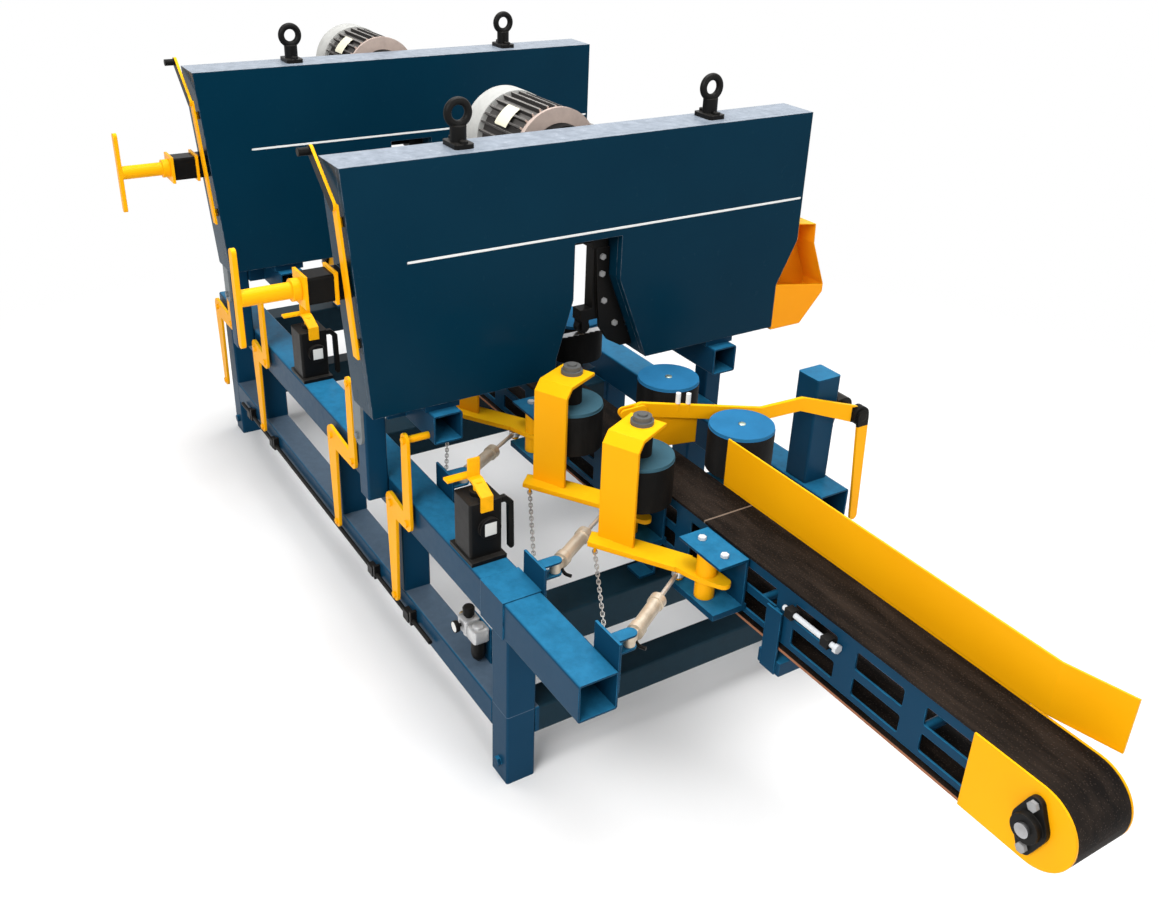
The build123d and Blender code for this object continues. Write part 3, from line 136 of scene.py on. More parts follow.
def add_piece(mesh, material, body=None):
    """Link a finished mesh at the origin, give it its material and let it ride on a body."""
    piece = bpy.data.objects.new(mesh.name, mesh)
    bpy.context.scene.collection.objects.link(piece)
    mesh.materials.append(material)
    if body:
        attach(piece, body)
    return piece


def feed(tree, socket, value):
    """Link an input to the socket that feeds it, or set its plain value."""
    if isinstance(value, bpy.types.NodeSocket):
        tree.links.new(value, socket)
    else:
        socket.default_value = value


def put(tree, kind, settings=None, *feeds, **named):
    """Add a node; settings are its properties, feeds go to its inputs in order and named ones by name."""
    node = tree.nodes.new(kind)
    for key, value in (settings or {}).items():
        setattr(node, key, value)
    for socket, value in zip(node.inputs, feeds):
        feed(tree, socket, value)
    for key, value in named.items():
        feed(tree, node.inputs[key.replace("_", " ")], value)
    return node


def maths(tree, operation, *terms, kind="ShaderNodeMath", give=0, **settings):
    """Result of a Math node, or of a Vector Math node, over its terms."""
    return put(tree, kind, {"operation": operation, **settings}, *terms).outputs[give]


def ranged(tree, value, settings=None, **limits):
    """Value carried from one range to another and held inside it."""
    return put(tree, "ShaderNodeMapRange", settings, Value=value, **limits).outputs[0]


def noise(tree, spot, **values):
    """Noise texture at a spot."""
    return put(tree, "ShaderNodeTexNoise", Vector=spot, **values).outputs["Fac"]


def object_spot(tree):
    """Point on the surface in the object's own coordinates."""
    return put(tree, "ShaderNodeTexCoord").outputs["Object"]


def seen_directly(tree):
    """One for rays from the camera, from mirrors and through glass, nought for plain light."""
    rays = put(tree, "ShaderNodeLightPath").outputs
    first = maths(tree, "MAXIMUM", rays["Is Camera Ray"], rays["Is Glossy Ray"])
    return maths(tree, "MAXIMUM", first, rays["Is Transmission Ray"])


def new_material(name):
    """Fresh material with its node tree and its main shader."""
    material = bpy.data.materials.new(name)
    material.use_nodes = True
    return material, material.node_tree, material.node_tree.nodes["Principled BSDF"]


def floor_material():
    """Near-white floor that holds the shadow and turns into plain white away from the machine."""
    material, tree, shader = new_material("studio_floor")
    spot = object_spot(tree)
    ramp = put(tree, "ShaderNodeValToRGB", Fac=noise(tree, spot, Scale=1.5))
    for stop, grey in zip(ramp.color_ramp.elements, FLOOR_GREYS):
        stop.color = (grey, grey, grey, 1)
    feed(tree, shader.inputs["Base Color"], ramp.outputs["Color"])
    shader.inputs["Roughness"].default_value = 0.9
    shader.inputs["Specular IOR Level"].default_value = 0.0
    away = maths(tree, "LENGTH", spot, kind="ShaderNodeVectorMath", give="Value")
    fade = ranged(tree, away, {"interpolation_type": "SMOOTHSTEP"}, From_Min=FLOOR_PLAIN[0],
                  From_Max=FLOOR_PLAIN[1])
    share = maths(tree, "MULTIPLY", fade, seen_directly(tree))
    white = put(tree, "ShaderNodeEmission")
    blend = put(tree, "ShaderNodeMixShader", None, share, shader.outputs[0], white.outputs[0])
    feed(tree, tree.nodes["Material Output"].inputs["Surface"], blend.outputs[0])
    return material


def studio():
    """Floor, white world and three soft lamps."""
    side = np.linspace(-FLOOR_REACH, FLOOR_REACH, 3)
    x, y = np.meshgrid(side, side)
    add_piece(grid_mesh("floor", np.stack([x, y, 0 * x], -1)), floor_material())
    world = bpy.data.worlds.new("studio")
    bpy.context.scene.world = world
    world.use_nodes = True
    tree = world.node_tree
    sky = tree.nodes["Background"]
    sky.inputs["Color"].default_value = (1, 1, 1, 1)
    feed(tree, sky.inputs["Strength"], ranged(tree, seen_directly(tree), To_Min=WORLD_LIGHT, To_Max=1.0))
    for settings in LAMPS:
        lamp(*settings)
    bpy.context.scene.view_settings.view_transform = "Standard"


aim_camera()
studio()


# Floor frame. Welded square steel tube, shot-blasted and sprayed dark blue in one coat,
# so the paint has a faint orange-peel skin. A bright blue painted sheen lies on its upper faces and edges,
# and the cross tubes between the rails are painted darker as shade.
FRAME_BLUE = (0.0042, 0.044, 0.094, 1)
FRAME_BLUE_DEEP = (0.0028, 0.032, 0.070, 1)
# painted sheen: bright blue laid on the frame's upper faces and edges as overhead light and edge highlight
BLUE_SHEEN = (0.030, 0.26, 0.49, 1)
CROSS_SHADE_BLUE = (0.0070, 0.024, 0.037, 1)      # painted shade: the cross tubes between the rails are laid darker
CROSS_HALF = 0.5484                         # from the belt's middle to the inner face of the rails
RAIL_DUST_AND_SHEEN = (0.095, 0.142, 0.200, 1)        # grey dust and painted sheen on the top faces of the bottom rails
BOTTOM_RAIL_TOP, RAIL_TOP_BAND = 0.2716, 0.001
EDGE_ROUND = 0.004
FAR = 3.0                                   # past the machine on every side
WHOLE = (-FAR, FAR)
COLOUR, NUMBER, VECTOR = "NodeSocketColor", "NodeSocketFloat", "NodeSocketVector"
FINISH = [("Colour", COLOUR), ("Roughness", NUMBER), ("Height", NUMBER), ("Shade", NUMBER)]


def middle_of(node):
    """Middle of a CAD node's box, as x, y and z."""
    return [(low + high) / 2 for low, high in zip(*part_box(node))]


def from_datum(datum, span):
    """Span measured from a datum."""
    return datum + span[0], datum + span[1]


def around(middle, half):
    """Span of a half width either side of a middle."""
    return from_datum(middle, (-half, half))


def zone(colour, x=WHOLE, y=WHOLE, z=WHOLE):
    """Box for a second colour; a direction that isn't given runs right through the machine."""
    return (x[0], y[0], z[0]), (x[1], y[1], z[1]), colour


def new_group(name, inputs, outputs):
    """Empty shader node group and the sockets of its inputs, each given as (name, type, default)."""
    group = bpy.data.node_groups.new(name, "ShaderNodeTree")
    for label, kind, value in inputs:
        group.interface.new_socket(label, in_out="INPUT", socket_type=kind).default_value = value
    for label, kind in outputs:
        group.interface.new_socket(label, in_out="OUTPUT", socket_type=kind)
    return group, group.nodes.new("NodeGroupInput").outputs


def mixed(tree, share, first, second, blend="MIX"):
    """Colour that goes from the first to the second, or to their product, with the share."""
    settings = {"data_type": "RGBA", "blend_type": blend}
    return put(tree, "ShaderNodeMix", settings, Factor=share, A=first, B=second).outputs["Result"]


def sprayed_paint_group():
    """Cloudy tint, fine orange peel and uneven gloss; upper faces and rubbed edges take a pale colour, which
    is dust on some paints and painted sheen and edge highlight on others.
    """
    group, given = new_group("sprayed_paint", [
        ("Paint", COLOUR, (1, 1, 1, 1)), ("Deep", COLOUR, (0, 0, 0, 1)), ("Dust", COLOUR, (0.5, 0.5, 0.5, 1)),
        ("Dustiness", NUMBER, 0.3), ("Gloss", NUMBER, 0.35), ("Edge", NUMBER, EDGE_ROUND)],
        [*FINISH, ("Rounded", VECTOR)])
    spot = object_spot(group)
    cloud = noise(group, spot, Scale=3.5, Detail=5.0)
    peel = noise(group, spot, Scale=420.0, Detail=2.0)
    scuff = noise(group, spot, Scale=26.0, Detail=8.0, Roughness=0.7)
    tint = mixed(group, cloud, given["Deep"], given["Paint"])
    normal = put(group, "ShaderNodeNewGeometry").outputs["Normal"]
    upward = put(group, "ShaderNodeSeparateXYZ", Vector=normal).outputs["Z"]
    # upper faces are mixed towards the pale colour given: dust on some paints, painted sheen on the blue and
    # yellow ones
    lying = maths(group, "MULTIPLY", ranged(group, upward, From_Min=0.55),
                  ranged(group, scuff, From_Min=-0.25, From_Max=0.62))
    dusted_and_sheened = mixed(group, maths(group, "MULTIPLY", lying, given["Dustiness"]), tint, given["Dust"])
    rounded = put(group, "ShaderNodeBevel", {"samples": 4}, Radius=given["Edge"]).outputs["Normal"]
    level = maths(group, "DOT_PRODUCT", rounded, normal, kind="ShaderNodeVectorMath", give="Value")
    # edges are mixed towards the same pale colour: rubbed paint, and painted edge highlight where that colour
    # is a sheen
    edge_wear_and_highlight = maths(group, "MULTIPLY", ranged(group, level, From_Min=0.98, From_Max=0.78),
                   ranged(group, scuff, From_Min=0.38, From_Max=0.68, To_Max=0.8))
    uneven = ranged(group, scuff, To_Min=-0.10, To_Max=0.14)
    put(group, "NodeGroupOutput", Colour=mixed(group, edge_wear_and_highlight, dusted_and_sheened, given["Dust"]),
        Roughness=maths(group, "ADD", uneven, given["Gloss"], use_clamp=True), Height=peel,
        Shade=ranged(group, scuff, To_Min=0.70, To_Max=1.25), Rounded=rounded)
    return group


def box_mask_group():
    """One inside a box between two corners in the object's own coordinates, nought outside."""
    group, given = new_group("box_mask", [("Low", VECTOR, (0, 0, 0)), ("High", VECTOR, (0, 0, 0))],
                             [("Mask", NUMBER)])
    spot, low, high = (put(group, "ShaderNodeSeparateXYZ", Vector=point).outputs
                       for point in (object_spot(group), given["Low"], given["High"]))
    mask = 1.0
    for axis in "XYZ":
        for limit, test in ((low, "GREATER_THAN"), (high, "LESS_THAN")):
            mask = maths(group, "MULTIPLY", mask, maths(group, test, spot[axis], limit[axis]))
    put(group, "NodeGroupOutput", Mask=mask)
    return group


SPRAYED_PAINT = sprayed_paint_group()
BOX_MASK = box_mask_group()


def use_group(tree, group, **inputs):
    """Place a node group and give the sockets of its results."""
    return put(tree, "ShaderNodeGroup", {"node_tree": group}, **inputs).outputs


def second_colours(tree, colour, shade, zones):
    """Lay further colours over a colour, each inside its own zone, as cloudy as the finish under it."""
    for low, high, second in zones:
        mask = use_group(tree, BOX_MASK, Low=low, High=high)["Mask"]
        colour = mixed(tree, mask, colour, mixed(tree, 1.0, second, shade, "MULTIPLY"))
    return colour


def skin(tree, shader, face, strength, depth, zones):
    """Feed a finish's colour, roughness and relief to the shader."""
    colour = second_colours(tree, face["Colour"], face["Shade"], zones)
    bump = put(tree, "ShaderNodeBump", Strength=strength, Distance=depth, Height=face["Height"])
    if "Rounded" in face:
        feed(tree, bump.inputs["Normal"], face["Rounded"])
    feed(tree, shader.inputs["Base Color"], colour)
    feed(tree, shader.inputs["Roughness"], face["Roughness"])
    feed(tree, shader.inputs["Normal"], bump.outputs["Normal"])


def painted(name, paint, deep, dust_and_sheen, dust_and_sheen_share=0.3, gloss=0.32, shine=0.06, edge=EDGE_ROUND, zones=()):
    """Sprayed steel; the third colour lies on upper faces and edges, dust on some paints and painted sheen on
    others; shine is how strongly it mirrors, and edge how far its edges are rounded.
    """
    material, tree, shader = new_material(name)
    coat = use_group(tree, SPRAYED_PAINT, Paint=paint, Deep=deep, Dust=dust_and_sheen, Dustiness=dust_and_sheen_share, Gloss=gloss,
                     Edge=edge)
    skin(tree, shader, coat, strength=0.08, depth=0.0006, zones=zones)
    shader.inputs["Specular IOR Level"].default_value = shine
    return material


def blue(name, *zones):
    """The frame's blue, with second colours where a node also holds other pieces."""
    return painted(name, FRAME_BLUE, FRAME_BLUE_DEEP, BLUE_SHEEN, dust_and_sheen_share=0.55, zones=zones)


def dress(node, material):
    """Give a kept CAD node its material."""
    slots = nodes_of[node].data.materials
    slots.clear()
    slots.append(material)


BELT_LOW, BELT_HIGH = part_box("conveyor_belt")
BELT_Y, BELT_Z = middle_of("conveyor_belt")[1:]
BELT_WIDTH = BELT_HIGH.y - BELT_LOW.y
blue_paint = blue("blue_paint")
dress("floor_frame", blue("stand_paint", zone(RAIL_DUST_AND_SHEEN, z=around(BOTTOM_RAIL_TOP, RAIL_TOP_BAND)),
                          zone(CROSS_SHADE_BLUE, y=around(BELT_Y, CROSS_HALF))))


# Lift gearboxes. Black cast screw-lift boxes bolted on the left rail, each under a bent yellow strap,
# with a small plain paper label on the front; the lift rod runs along the bottom rail.
BLACK = (0.0075, 0.0072, 0.0068, 1)
BLACK_DEEP = (0.0045, 0.0042, 0.0040, 1)
BLACK_DUST = (0.055, 0.050, 0.045, 1)
YELLOW = (0.930, 0.430, 0.003, 1)
LABEL_WHITE = (0.78, 0.78, 0.75, 1)
LABEL_GREY = (0.60, 0.60, 0.57, 1)
HEAD_FRONTS = {k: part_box(f"head_cover_{k}")[1].x for k in (1, 2)}
GEARBOX_AHEAD = 0.375                     # from a head's front to the front of its gearbox
LEFT_RAIL_Y, GEARBOX_TOP, COLLAR_HIGH = BELT_Y - 0.612, 0.912, 0.0162
STRAP_OUT, STRAP_DOWN, STRAP_HALF = (0.0001, 0.02), (-0.0305, 0.02), 0.0205
DIAL_ACROSS, DIAL_UP, DIAL_DEEP = 0.008, 0.822, 0.014      # round cover on the front
LABEL_HALF = (0.020, 0.022)
THIN_EDGE = 0.0001
PLATE_STEPS, PLATE_LIFT, PLATE_GAP = 17, 0.0006, 0.0002


def black(name, *zones):
    """Satin black enamel."""
    return painted(name, BLACK, BLACK_DEEP, BLACK_DUST, gloss=0.38, shine=0.10, zones=zones)


def thin_shell(name, face, back):
    """Closed plate: the face's grid runs up one side and the back's down the other, and their edges meet."""
    return grid_mesh(name, np.concatenate([face, back[:, ::-1]], axis=1), closed_v=True)


def pillow(power):
    """Grid of u and v from -1 to 1, and the lift (1 - u^power) * (1 - v^power) over it."""
    side = np.linspace(-1, 1, PLATE_STEPS)
    u, v = np.meshgrid(side, side, indexing="ij")
    return u, v, ((1 - u ** power) * (1 - v ** power))[..., None]


def flat_plate(name, x, y, z):
    """Thin plate that faces forwards: u and v run over the spans y and z, and the face stands off x by
    PLATE_LIFT * (1 - u^6) * (1 - v^6), so that its edges lie down on what carries it."""
    u, v, lift = pillow(6)
    back = np.stack([0 * u + x, np.interp(u, (-1, 1), y), np.interp(v, (-1, 1), z)], -1)
    return thin_shell(name, back + PLATE_LIFT * lift * (1, 0, 0), back)


straps = [zone(YELLOW, z=(GEARBOX_TOP + COLLAR_HIGH, FAR))]
label_paper = painted("label_paper", LABEL_WHITE, LABEL_GREY, LABEL_GREY, gloss=0.45, edge=THIN_EDGE)
for k, head_front in HEAD_FRONTS.items():
    front = head_front + GEARBOX_AHEAD
    straps.append(zone(YELLOW, from_datum(front, STRAP_OUT), around(LEFT_RAIL_Y, STRAP_HALF),
                       from_datum(GEARBOX_TOP, STRAP_DOWN)))
    label = flat_plate(f"gearbox_label_{k}", front + DIAL_DEEP + PLATE_GAP,
                       around(LEFT_RAIL_Y + DIAL_ACROSS, LABEL_HALF[0]), around(DIAL_UP, LABEL_HALF[1]))
    add_piece(label, label_paper, "base")
dress("lift_gearboxes", black("gearbox_paint", *straps))


# Conveyor bed. Folded side plates with flame-cut windows over cross tubes, painted with the frame;
# the fence rolls stand on shelf plates welded to its right side. The gearmotor hangs at the tail.
dress("conveyor_bed", blue_paint)
dress("gearmotor", blue("gearmotor_paint"))


# Conveyor belt. Black rubber over fabric with a rough, finely waffled top; sawdust and timber have
# scuffed it brown along the middle, and the lower run's cut edges show the tan carcass.
BELT_RUBBER = (0.0050, 0.0038, 0.0032, 1)
BELT_WORN = (0.070, 0.050, 0.038, 1)
BELT_EDGE = (0.30, 0.13, 0.07, 1)
BELT_SPLICE = (0.17, 0.13, 0.10, 1)
SPLICE_X = (0.923, 0.929)
EDGE_DEEP = 0.0008


def rubber_wear_and_shine_group():
    """Patchy mix between two colours drawn out by Stretch, scuffing on the belt and painted highlight streaks
    on the rolls and drive belts, and fine raised cells that catch light.
    """
    group, given = new_group("rubber_wear_and_shine", [
        ("Rubber", COLOUR, (0, 0, 0, 1)), ("Worn", COLOUR, (0.1, 0.1, 0.1, 1)), ("Wear", NUMBER, 0.4),
        ("Speckle", NUMBER, 0.0), ("Stretch", VECTOR, (0, 0, 0))], FINISH)
    spot = object_spot(group)
    drawn = maths(group, "MULTIPLY", spot, given["Stretch"], kind="ShaderNodeVectorMath")
    patch = noise(group, drawn, Scale=9.0, Detail=7.0, Roughness=0.65)
    cells = put(group, "ShaderNodeTexVoronoi", Vector=spot, Scale=150.0).outputs["Distance"]
    raised = ranged(group, cells, From_Min=0.30, From_Max=0.10)
    wear_and_shine = maths(group, "MULTIPLY", ranged(group, patch, From_Min=0.42, From_Max=0.78), given["Wear"])
    flecks = maths(group, "MULTIPLY", raised, given["Speckle"])
    amount = maths(group, "ADD", wear_and_shine, flecks, use_clamp=True)
    put(group, "NodeGroupOutput", Colour=mixed(group, amount, given["Rubber"], given["Worn"]),
        Roughness=ranged(group, patch, To_Min=0.48, To_Max=0.82), Height=raised,
        Shade=ranged(group, patch, To_Min=0.65, To_Max=1.30))
    return group


RUBBER_WEAR_AND_SHINE = rubber_wear_and_shine_group()


def rubber(name, colour, worn, wear_and_shine, stretch=(1, 1, 1), relief=0.0006, speckle=0.0, zones=()):
    """Rubber skin, with second colours where a node also holds other pieces."""
    material, tree, shader = new_material(name)
    face = use_group(tree, RUBBER_WEAR_AND_SHINE, Rubber=colour, Worn=worn, Wear=wear_and_shine, Speckle=speckle, Stretch=stretch)
    skin(tree, shader, face, strength=0.6, depth=relief, zones=zones)
    shader.inputs["Specular IOR Level"].default_value = 0.06
    return material


lower_run, upper_run = (-FAR, BELT_Z), (BELT_Z, FAR)
left_edge, right_edge = around(BELT_Y, BELT_WIDTH / 2 - EDGE_DEEP)
dress("conveyor_belt", rubber(
    "belt_rubber", BELT_RUBBER, BELT_WORN, wear_and_shine=0.42, stretch=(0.35, 2.2, 1.0), relief=0.003, speckle=0.50,
    zones=[zone(BELT_EDGE, y=(right_edge, FAR), z=lower_run),
           zone(BELT_EDGE, y=(-FAR, left_edge), z=lower_run),
           zone(BELT_SPLICE, x=SPLICE_X, z=upper_run)]))


# Pulleys. Turned steel drums on through shafts, left bare, with lathe grain and thin grey stain;
# the belt runs over both, and the gearmotor turns the one at the tail.
STEEL = (0.36, 0.36, 0.37, 1)
STEEL_STAIN = (0.20, 0.19, 0.18, 1)


def machined_metal_group():
    """Fine grain drawn out by Grain, with cloudy stain and gloss."""
    group, given = new_group("machined_metal", [
        ("Metal", COLOUR, (0.6, 0.6, 0.6, 1)), ("Stain", COLOUR, (0.3, 0.3, 0.3, 1)),
        ("Grain", VECTOR, (0, 0, 0)), ("Gloss", NUMBER, 0.3)], FINISH)
    spot = object_spot(group)
    drawn = maths(group, "MULTIPLY", spot, given["Grain"], kind="ShaderNodeVectorMath")
    grain = noise(group, drawn, Scale=300.0, Detail=3.0)
    cloud = noise(group, spot, Scale=14.0, Detail=6.0, Roughness=0.65)
    stained = ranged(group, cloud, From_Min=0.45, From_Max=0.80)
    put(group, "NodeGroupOutput", Colour=mixed(group, stained, given["Metal"], given["Stain"]),
        Roughness=maths(group, "MULTIPLY_ADD", cloud, 0.22, given["Gloss"], use_clamp=True), Height=grain,
        Shade=ranged(group, cloud, To_Min=0.70, To_Max=1.25))
    return group


MACHINED_METAL = machined_metal_group()


def metal(name, colour, stain, grain=(1, 1, 1), gloss=0.25, metallic=1.0):
    """Machined, cast or rolled metal."""
    material, tree, shader = new_material(name)
    face = use_group(tree, MACHINED_METAL, Metal=colour, Stain=stain, Grain=grain, Gloss=gloss)
    skin(tree, shader, face, strength=0.15, depth=0.0004, zones=())
    shader.inputs["Metallic"].default_value = metallic
    return material


turned_steel = metal("turned_steel", STEEL, STEEL_STAIN, (1, 0.05, 1))
dress("nose_pulley", turned_steel)
dress("tail_pulley", turned_steel)


# Bearings. Cast flange and pillow blocks in satin black enamel with bright bolt heads,
# and the belt's take-up screws beside the bed.
BOLT_STEEL = (0.30, 0.30, 0.30, 1)
ZINC = (0.62, 0.64, 0.66, 1)
FLANGE_FACE = BELT_WIDTH / 2 + 0.0221     # belt's middle to the flange, where the bolt heads begin
FLANGE_BOLT, BOLT_HALF, BOLT_HIGH = 0.062, 0.0135, 0.012       # the first is from bearing axis to bolt
TAKE_UP_BRIGHT = ((1.290, 1.3159), (1.3441, 1.4559), (1.4841, 1.530))   # screw and nut, between the blocks
bright = [zone(ZINC, x=span) for span in TAKE_UP_BRIGHT]
for node in ("nose_pulley", "tail_pulley"):
    x, _, z = middle_of(node)
    for bolt_z in around(z, FLANGE_BOLT):
        for heads in ((-FLANGE_FACE - BOLT_HIGH, -FLANGE_FACE), (FLANGE_FACE, FLANGE_FACE + BOLT_HIGH)):
            bright.append(zone(BOLT_STEEL, around(x, BOLT_HALF), from_datum(BELT_Y, heads),
                               around(bolt_z, BOLT_HALF)))
dress("bearing_units", black("bearing_black", *bright))


# Conveyor end plates and fence. Plate cut and bent, sprayed safety yellow;
# the fence stands on straps bolted to the bed, and timber has scuffed its face a little.
# A thin edge strip closes the gap between the fence and the belt's side.
YELLOW_DEEP = (0.87, 0.36, 0.002, 1)
# painted sheen: a brighter, greener yellow laid on upper faces and edges, as if lit from above
YELLOW_SHEEN = (0.86, 0.56, 0.008, 1)
END_PLATE_REACH = 0.191      # pulley axis back to where an end plate begins
STRIP_OUT, STRIP_FOOT, STRIP_HIGH, STRIP_HALF, STRIP_SQUARE = 0.0050, 0.8880, 0.0176, 0.0028, 60
ROUND_STEPS = 48
UPWARDS = (0, 0, 1)


def turned(name, foot, axis, profile, squareness=2, wide=(1, 1)):
    """Profile of (radius, height) carried round an axis through the foot, with poles at both ends.

    At angle a the radius is divided by (|cos a|^n + |sin a|^n)^(1/n), a circle for squareness n = 2 and
    nearly a square above; wide stretches the section across its two sides.
    """
    axis = np.array(axis, float)
    side = np.array((1.0, 0, 0)) if abs(axis[0]) < 0.5 else np.array((0, 1.0, 0))
    up = np.cross(axis, side)
    a = np.linspace(0, 2 * math.pi, ROUND_STEPS, endpoint=False)
    swell = (np.abs(np.cos(a)) ** squareness + np.abs(np.sin(a)) ** squareness) ** (-1 / squareness)
    radius, height = np.array(profile, float).T
    across = (radius[:, None] * swell * np.cos(a) * wide[0])[..., None] * side
    across = across + (radius[:, None] * swell * np.sin(a) * wide[1])[..., None] * up
    return grid_mesh(name, np.array(foot) + height[:, None, None] * axis + across, closed_v=True)


def block(radius, height):
    """Profile of a plain disc or bar."""
    return (0, 0), (radius, 0), (radius, height), (0, height)


def yellow(name, *zones):
    """Safety yellow, with second colours where a node also holds other pieces."""
    return painted(name, YELLOW, YELLOW_DEEP, YELLOW_SHEEN, dust_and_sheen_share=0.6, gloss=0.36, zones=zones)


yellow_paint = yellow("yellow_paint")
dress("end_plates", yellow_paint)
dress("fence", yellow_paint)
strip_from, strip_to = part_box("fence")[0].x, middle_of("nose_pulley")[0] - END_PLATE_REACH
strip_foot = ((strip_from + strip_to) / 2, BELT_HIGH.y + STRIP_OUT, STRIP_FOOT)
fence_edge = turned("fence_edge", strip_foot, UPWARDS, block(1, STRIP_HIGH), STRIP_SQUARE,
                    ((strip_to - strip_from) / 2, STRIP_HALF))
add_piece(fence_edge, yellow_paint, "base")


# Fence rolls and press rolls. Steel drums with a black rubber cover and a blue top disc;
# a fence roll's disc has a small plug over the end of its fixed pin. The rubber carries painted highlight
# streaks, and the discs are the frame's blue painted lighter as if lit from above, the press rolls' duller
# as painted shade.
ROLL_RUBBER = (0.006, 0.006, 0.006, 1)
# painted highlight: pale streaks laid up the black rubber of the rolls and drive belts
ROLL_SHINE = (0.030, 0.029, 0.028, 1)
# painted light: both discs are the frame's blue, the fence rolls' painted bright as lit from above, the press
# rolls' duller as painted shade
FENCE_CAP_LIT = (0.022, 0.155, 0.320, 1)
PRESS_CAP_SHADED = (0.045, 0.115, 0.155, 1)
CAP_Z = (1.0499, 1.0601)
PLUG_BRASS = (0.42, 0.50, 0.42, 1)
PLUG_R, PLUG_HIGH, PLUG_STEPS = 0.012, 0.004, 8


def plug_profile():
    """Low dome over a disc: r = PLUG_R * cos(t), h = PLUG_HIGH * sin(t)^0.6."""
    t = np.linspace(0, math.pi / 2, PLUG_STEPS)
    dome = np.stack([PLUG_R * np.cos(t), PLUG_HIGH * np.sin(t) ** 0.6], -1)
    return np.concatenate([[(0, 0)], dome])


plug_brass = metal("plug_brass", PLUG_BRASS, STEEL_STAIN, gloss=0.35)
for number in (1, 2, 3):
    for kind, colour in (("fence_roll", FENCE_CAP_LIT), ("press_roll", PRESS_CAP_SHADED)):
        node = f"{kind}_{number}"
        dress(node, rubber(f"{node}_rubber", ROLL_RUBBER, ROLL_SHINE, wear_and_shine=0.6, stretch=(1, 1, 0.25),
                           zones=[zone(colour, z=CAP_Z)]))
    node = f"fence_roll_{number}"
    pin = (*middle_of(node)[:2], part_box(node)[1].z)
    add_piece(turned(f"roll_plug_{number}", pin, UPWARDS, plug_profile()), plug_brass, node)


# Press arms. Yellow yokes folded from flat bar and welded to a foot plate that swings on a pin;
# a grey flange bearing sits on the tab of each, over the roll's shaft.
BEARING_GREY = (0.115, 0.115, 0.112, 1)
YOKE_TOP = 1.1602
for number in (1, 2, 3):
    node = f"press_arm_{number}"
    dress(node, yellow(f"{node}_paint", zone(BEARING_GREY, z=(YOKE_TOP, FAR))))


# Press brackets. Blue plates cut from flat stock and welded to the bed's left side and to the rail,
# with zinc-plated bolt heads on top.
BED_TOP = 0.8918
dress("press_brackets", blue("bracket_paint", zone(ZINC, z=(BED_TOP, FAR))))


# Air cylinders. Pale anodised tubes with bright rods, pinned between bracket and arm,
# each with a black push-in elbow on its tail cap.
CYLINDER_PALE = (0.62, 0.54, 0.43, 1)
CYLINDER_DULL = (0.36, 0.29, 0.21, 1)
ROD_BRIGHT = (0.72, 0.72, 0.70, 1)
ROD_DULL = (0.5, 0.5, 0.48, 1)
ROLL_AXIS_Y = BELT_Y - 0.195
CLEVIS_FROM_ROLL = np.array((0.405, -0.2935, 0.760))
ROD_PIN_FROM_ROLL = np.array((0.215, 0.010, 0.760))
ELBOW_ALONG, ELBOW_UNDER = 0.047, 0.021       # from the clevis along the cylinder, and below its axis
ELBOW_R, ELBOW_BEND, ELBOW_DROP, ELBOW_STEPS = 0.0055, 0.020, 0.012, 9


def unit(vectors):
    """Vectors of length one."""
    return vectors / np.linalg.norm(vectors, axis=-1, keepdims=True)


def tube(path, radius, sides=10, closed=False):
    """Round wire: path + radius * (cos a * side + sin a * plane), a circle square to the path's direction.

    The path has shape (..., points, 3). An open path gets a pole at each end, which closes it.
    """
    if closed:
        heading = unit(np.roll(path, -1, axis=-2) - np.roll(path, 1, axis=-2))
    else:
        heading = unit(np.gradient(path, axis=-2))
    spread = path - path.mean(axis=-2, keepdims=True)
    plane = np.linalg.svd(spread)[2][..., 2, :]
    side = np.cross(heading, plane[..., None, :])
    angle = np.linspace(0, 2 * math.pi, sides, endpoint=False)[:, None]
    ring = (np.cos(angle) * side[..., None, :] + np.sin(angle) * plane[..., None, None, :]) * radius
    wire = path[..., None, :] + ring
    if closed:
        return wire
    pole = np.repeat(path[..., None, :], sides, axis=-2)
    return np.concatenate([pole[..., :1, :, :], wire, pole[..., -1:, :, :]], axis=-3)


def elbow_path(start, out):
    """Down from a point, a quarter circle ELBOW_BEND * (sin t * down + (1 - cos t) * out), then level."""
    t = np.linspace(0, math.pi / 2, ELBOW_STEPS)[:, None]
    down = np.array((0, 0, -1.0))
    bend = start + down * ELBOW_DROP + ELBOW_BEND * (np.sin(t) * down + (1 - np.cos(t)) * out)
    return np.concatenate([[start], bend, [bend[-1] + out * ELBOW_DROP]])


cylinder_alu = metal("cylinder_alu", CYLINDER_PALE, CYLINDER_DULL, (1, 0.1, 1), gloss=0.35, metallic=0.55)
bright_rod = metal("bright_rod", ROD_BRIGHT, ROD_DULL, (1, 0.05, 1), gloss=0.2, metallic=0.6)
elbow_black = black("elbow_black")
reach = unit(ROD_PIN_FROM_ROLL - CLEVIS_FROM_ROLL)
roll_axes = {}
for number in (1, 2, 3):
    dress(f"cylinder_{number}", cylinder_alu)
    dress(f"cylinder_rod_{number}", bright_rod)
    roll_axes[number] = np.array((middle_of(f"press_roll_{number}")[0], ROLL_AXIS_Y, 0))
    start = roll_axes[number] + CLEVIS_FROM_ROLL + reach * ELBOW_ALONG - (0, 0, ELBOW_UNDER)
    elbow = tube(elbow_path(start, np.array((reach[1], -reach[0], 0))), ELBOW_R)
    add_piece(grid_mesh(f"air_elbow_{number}", elbow, closed_v=True), elbow_black, f"cylinder_{number}")


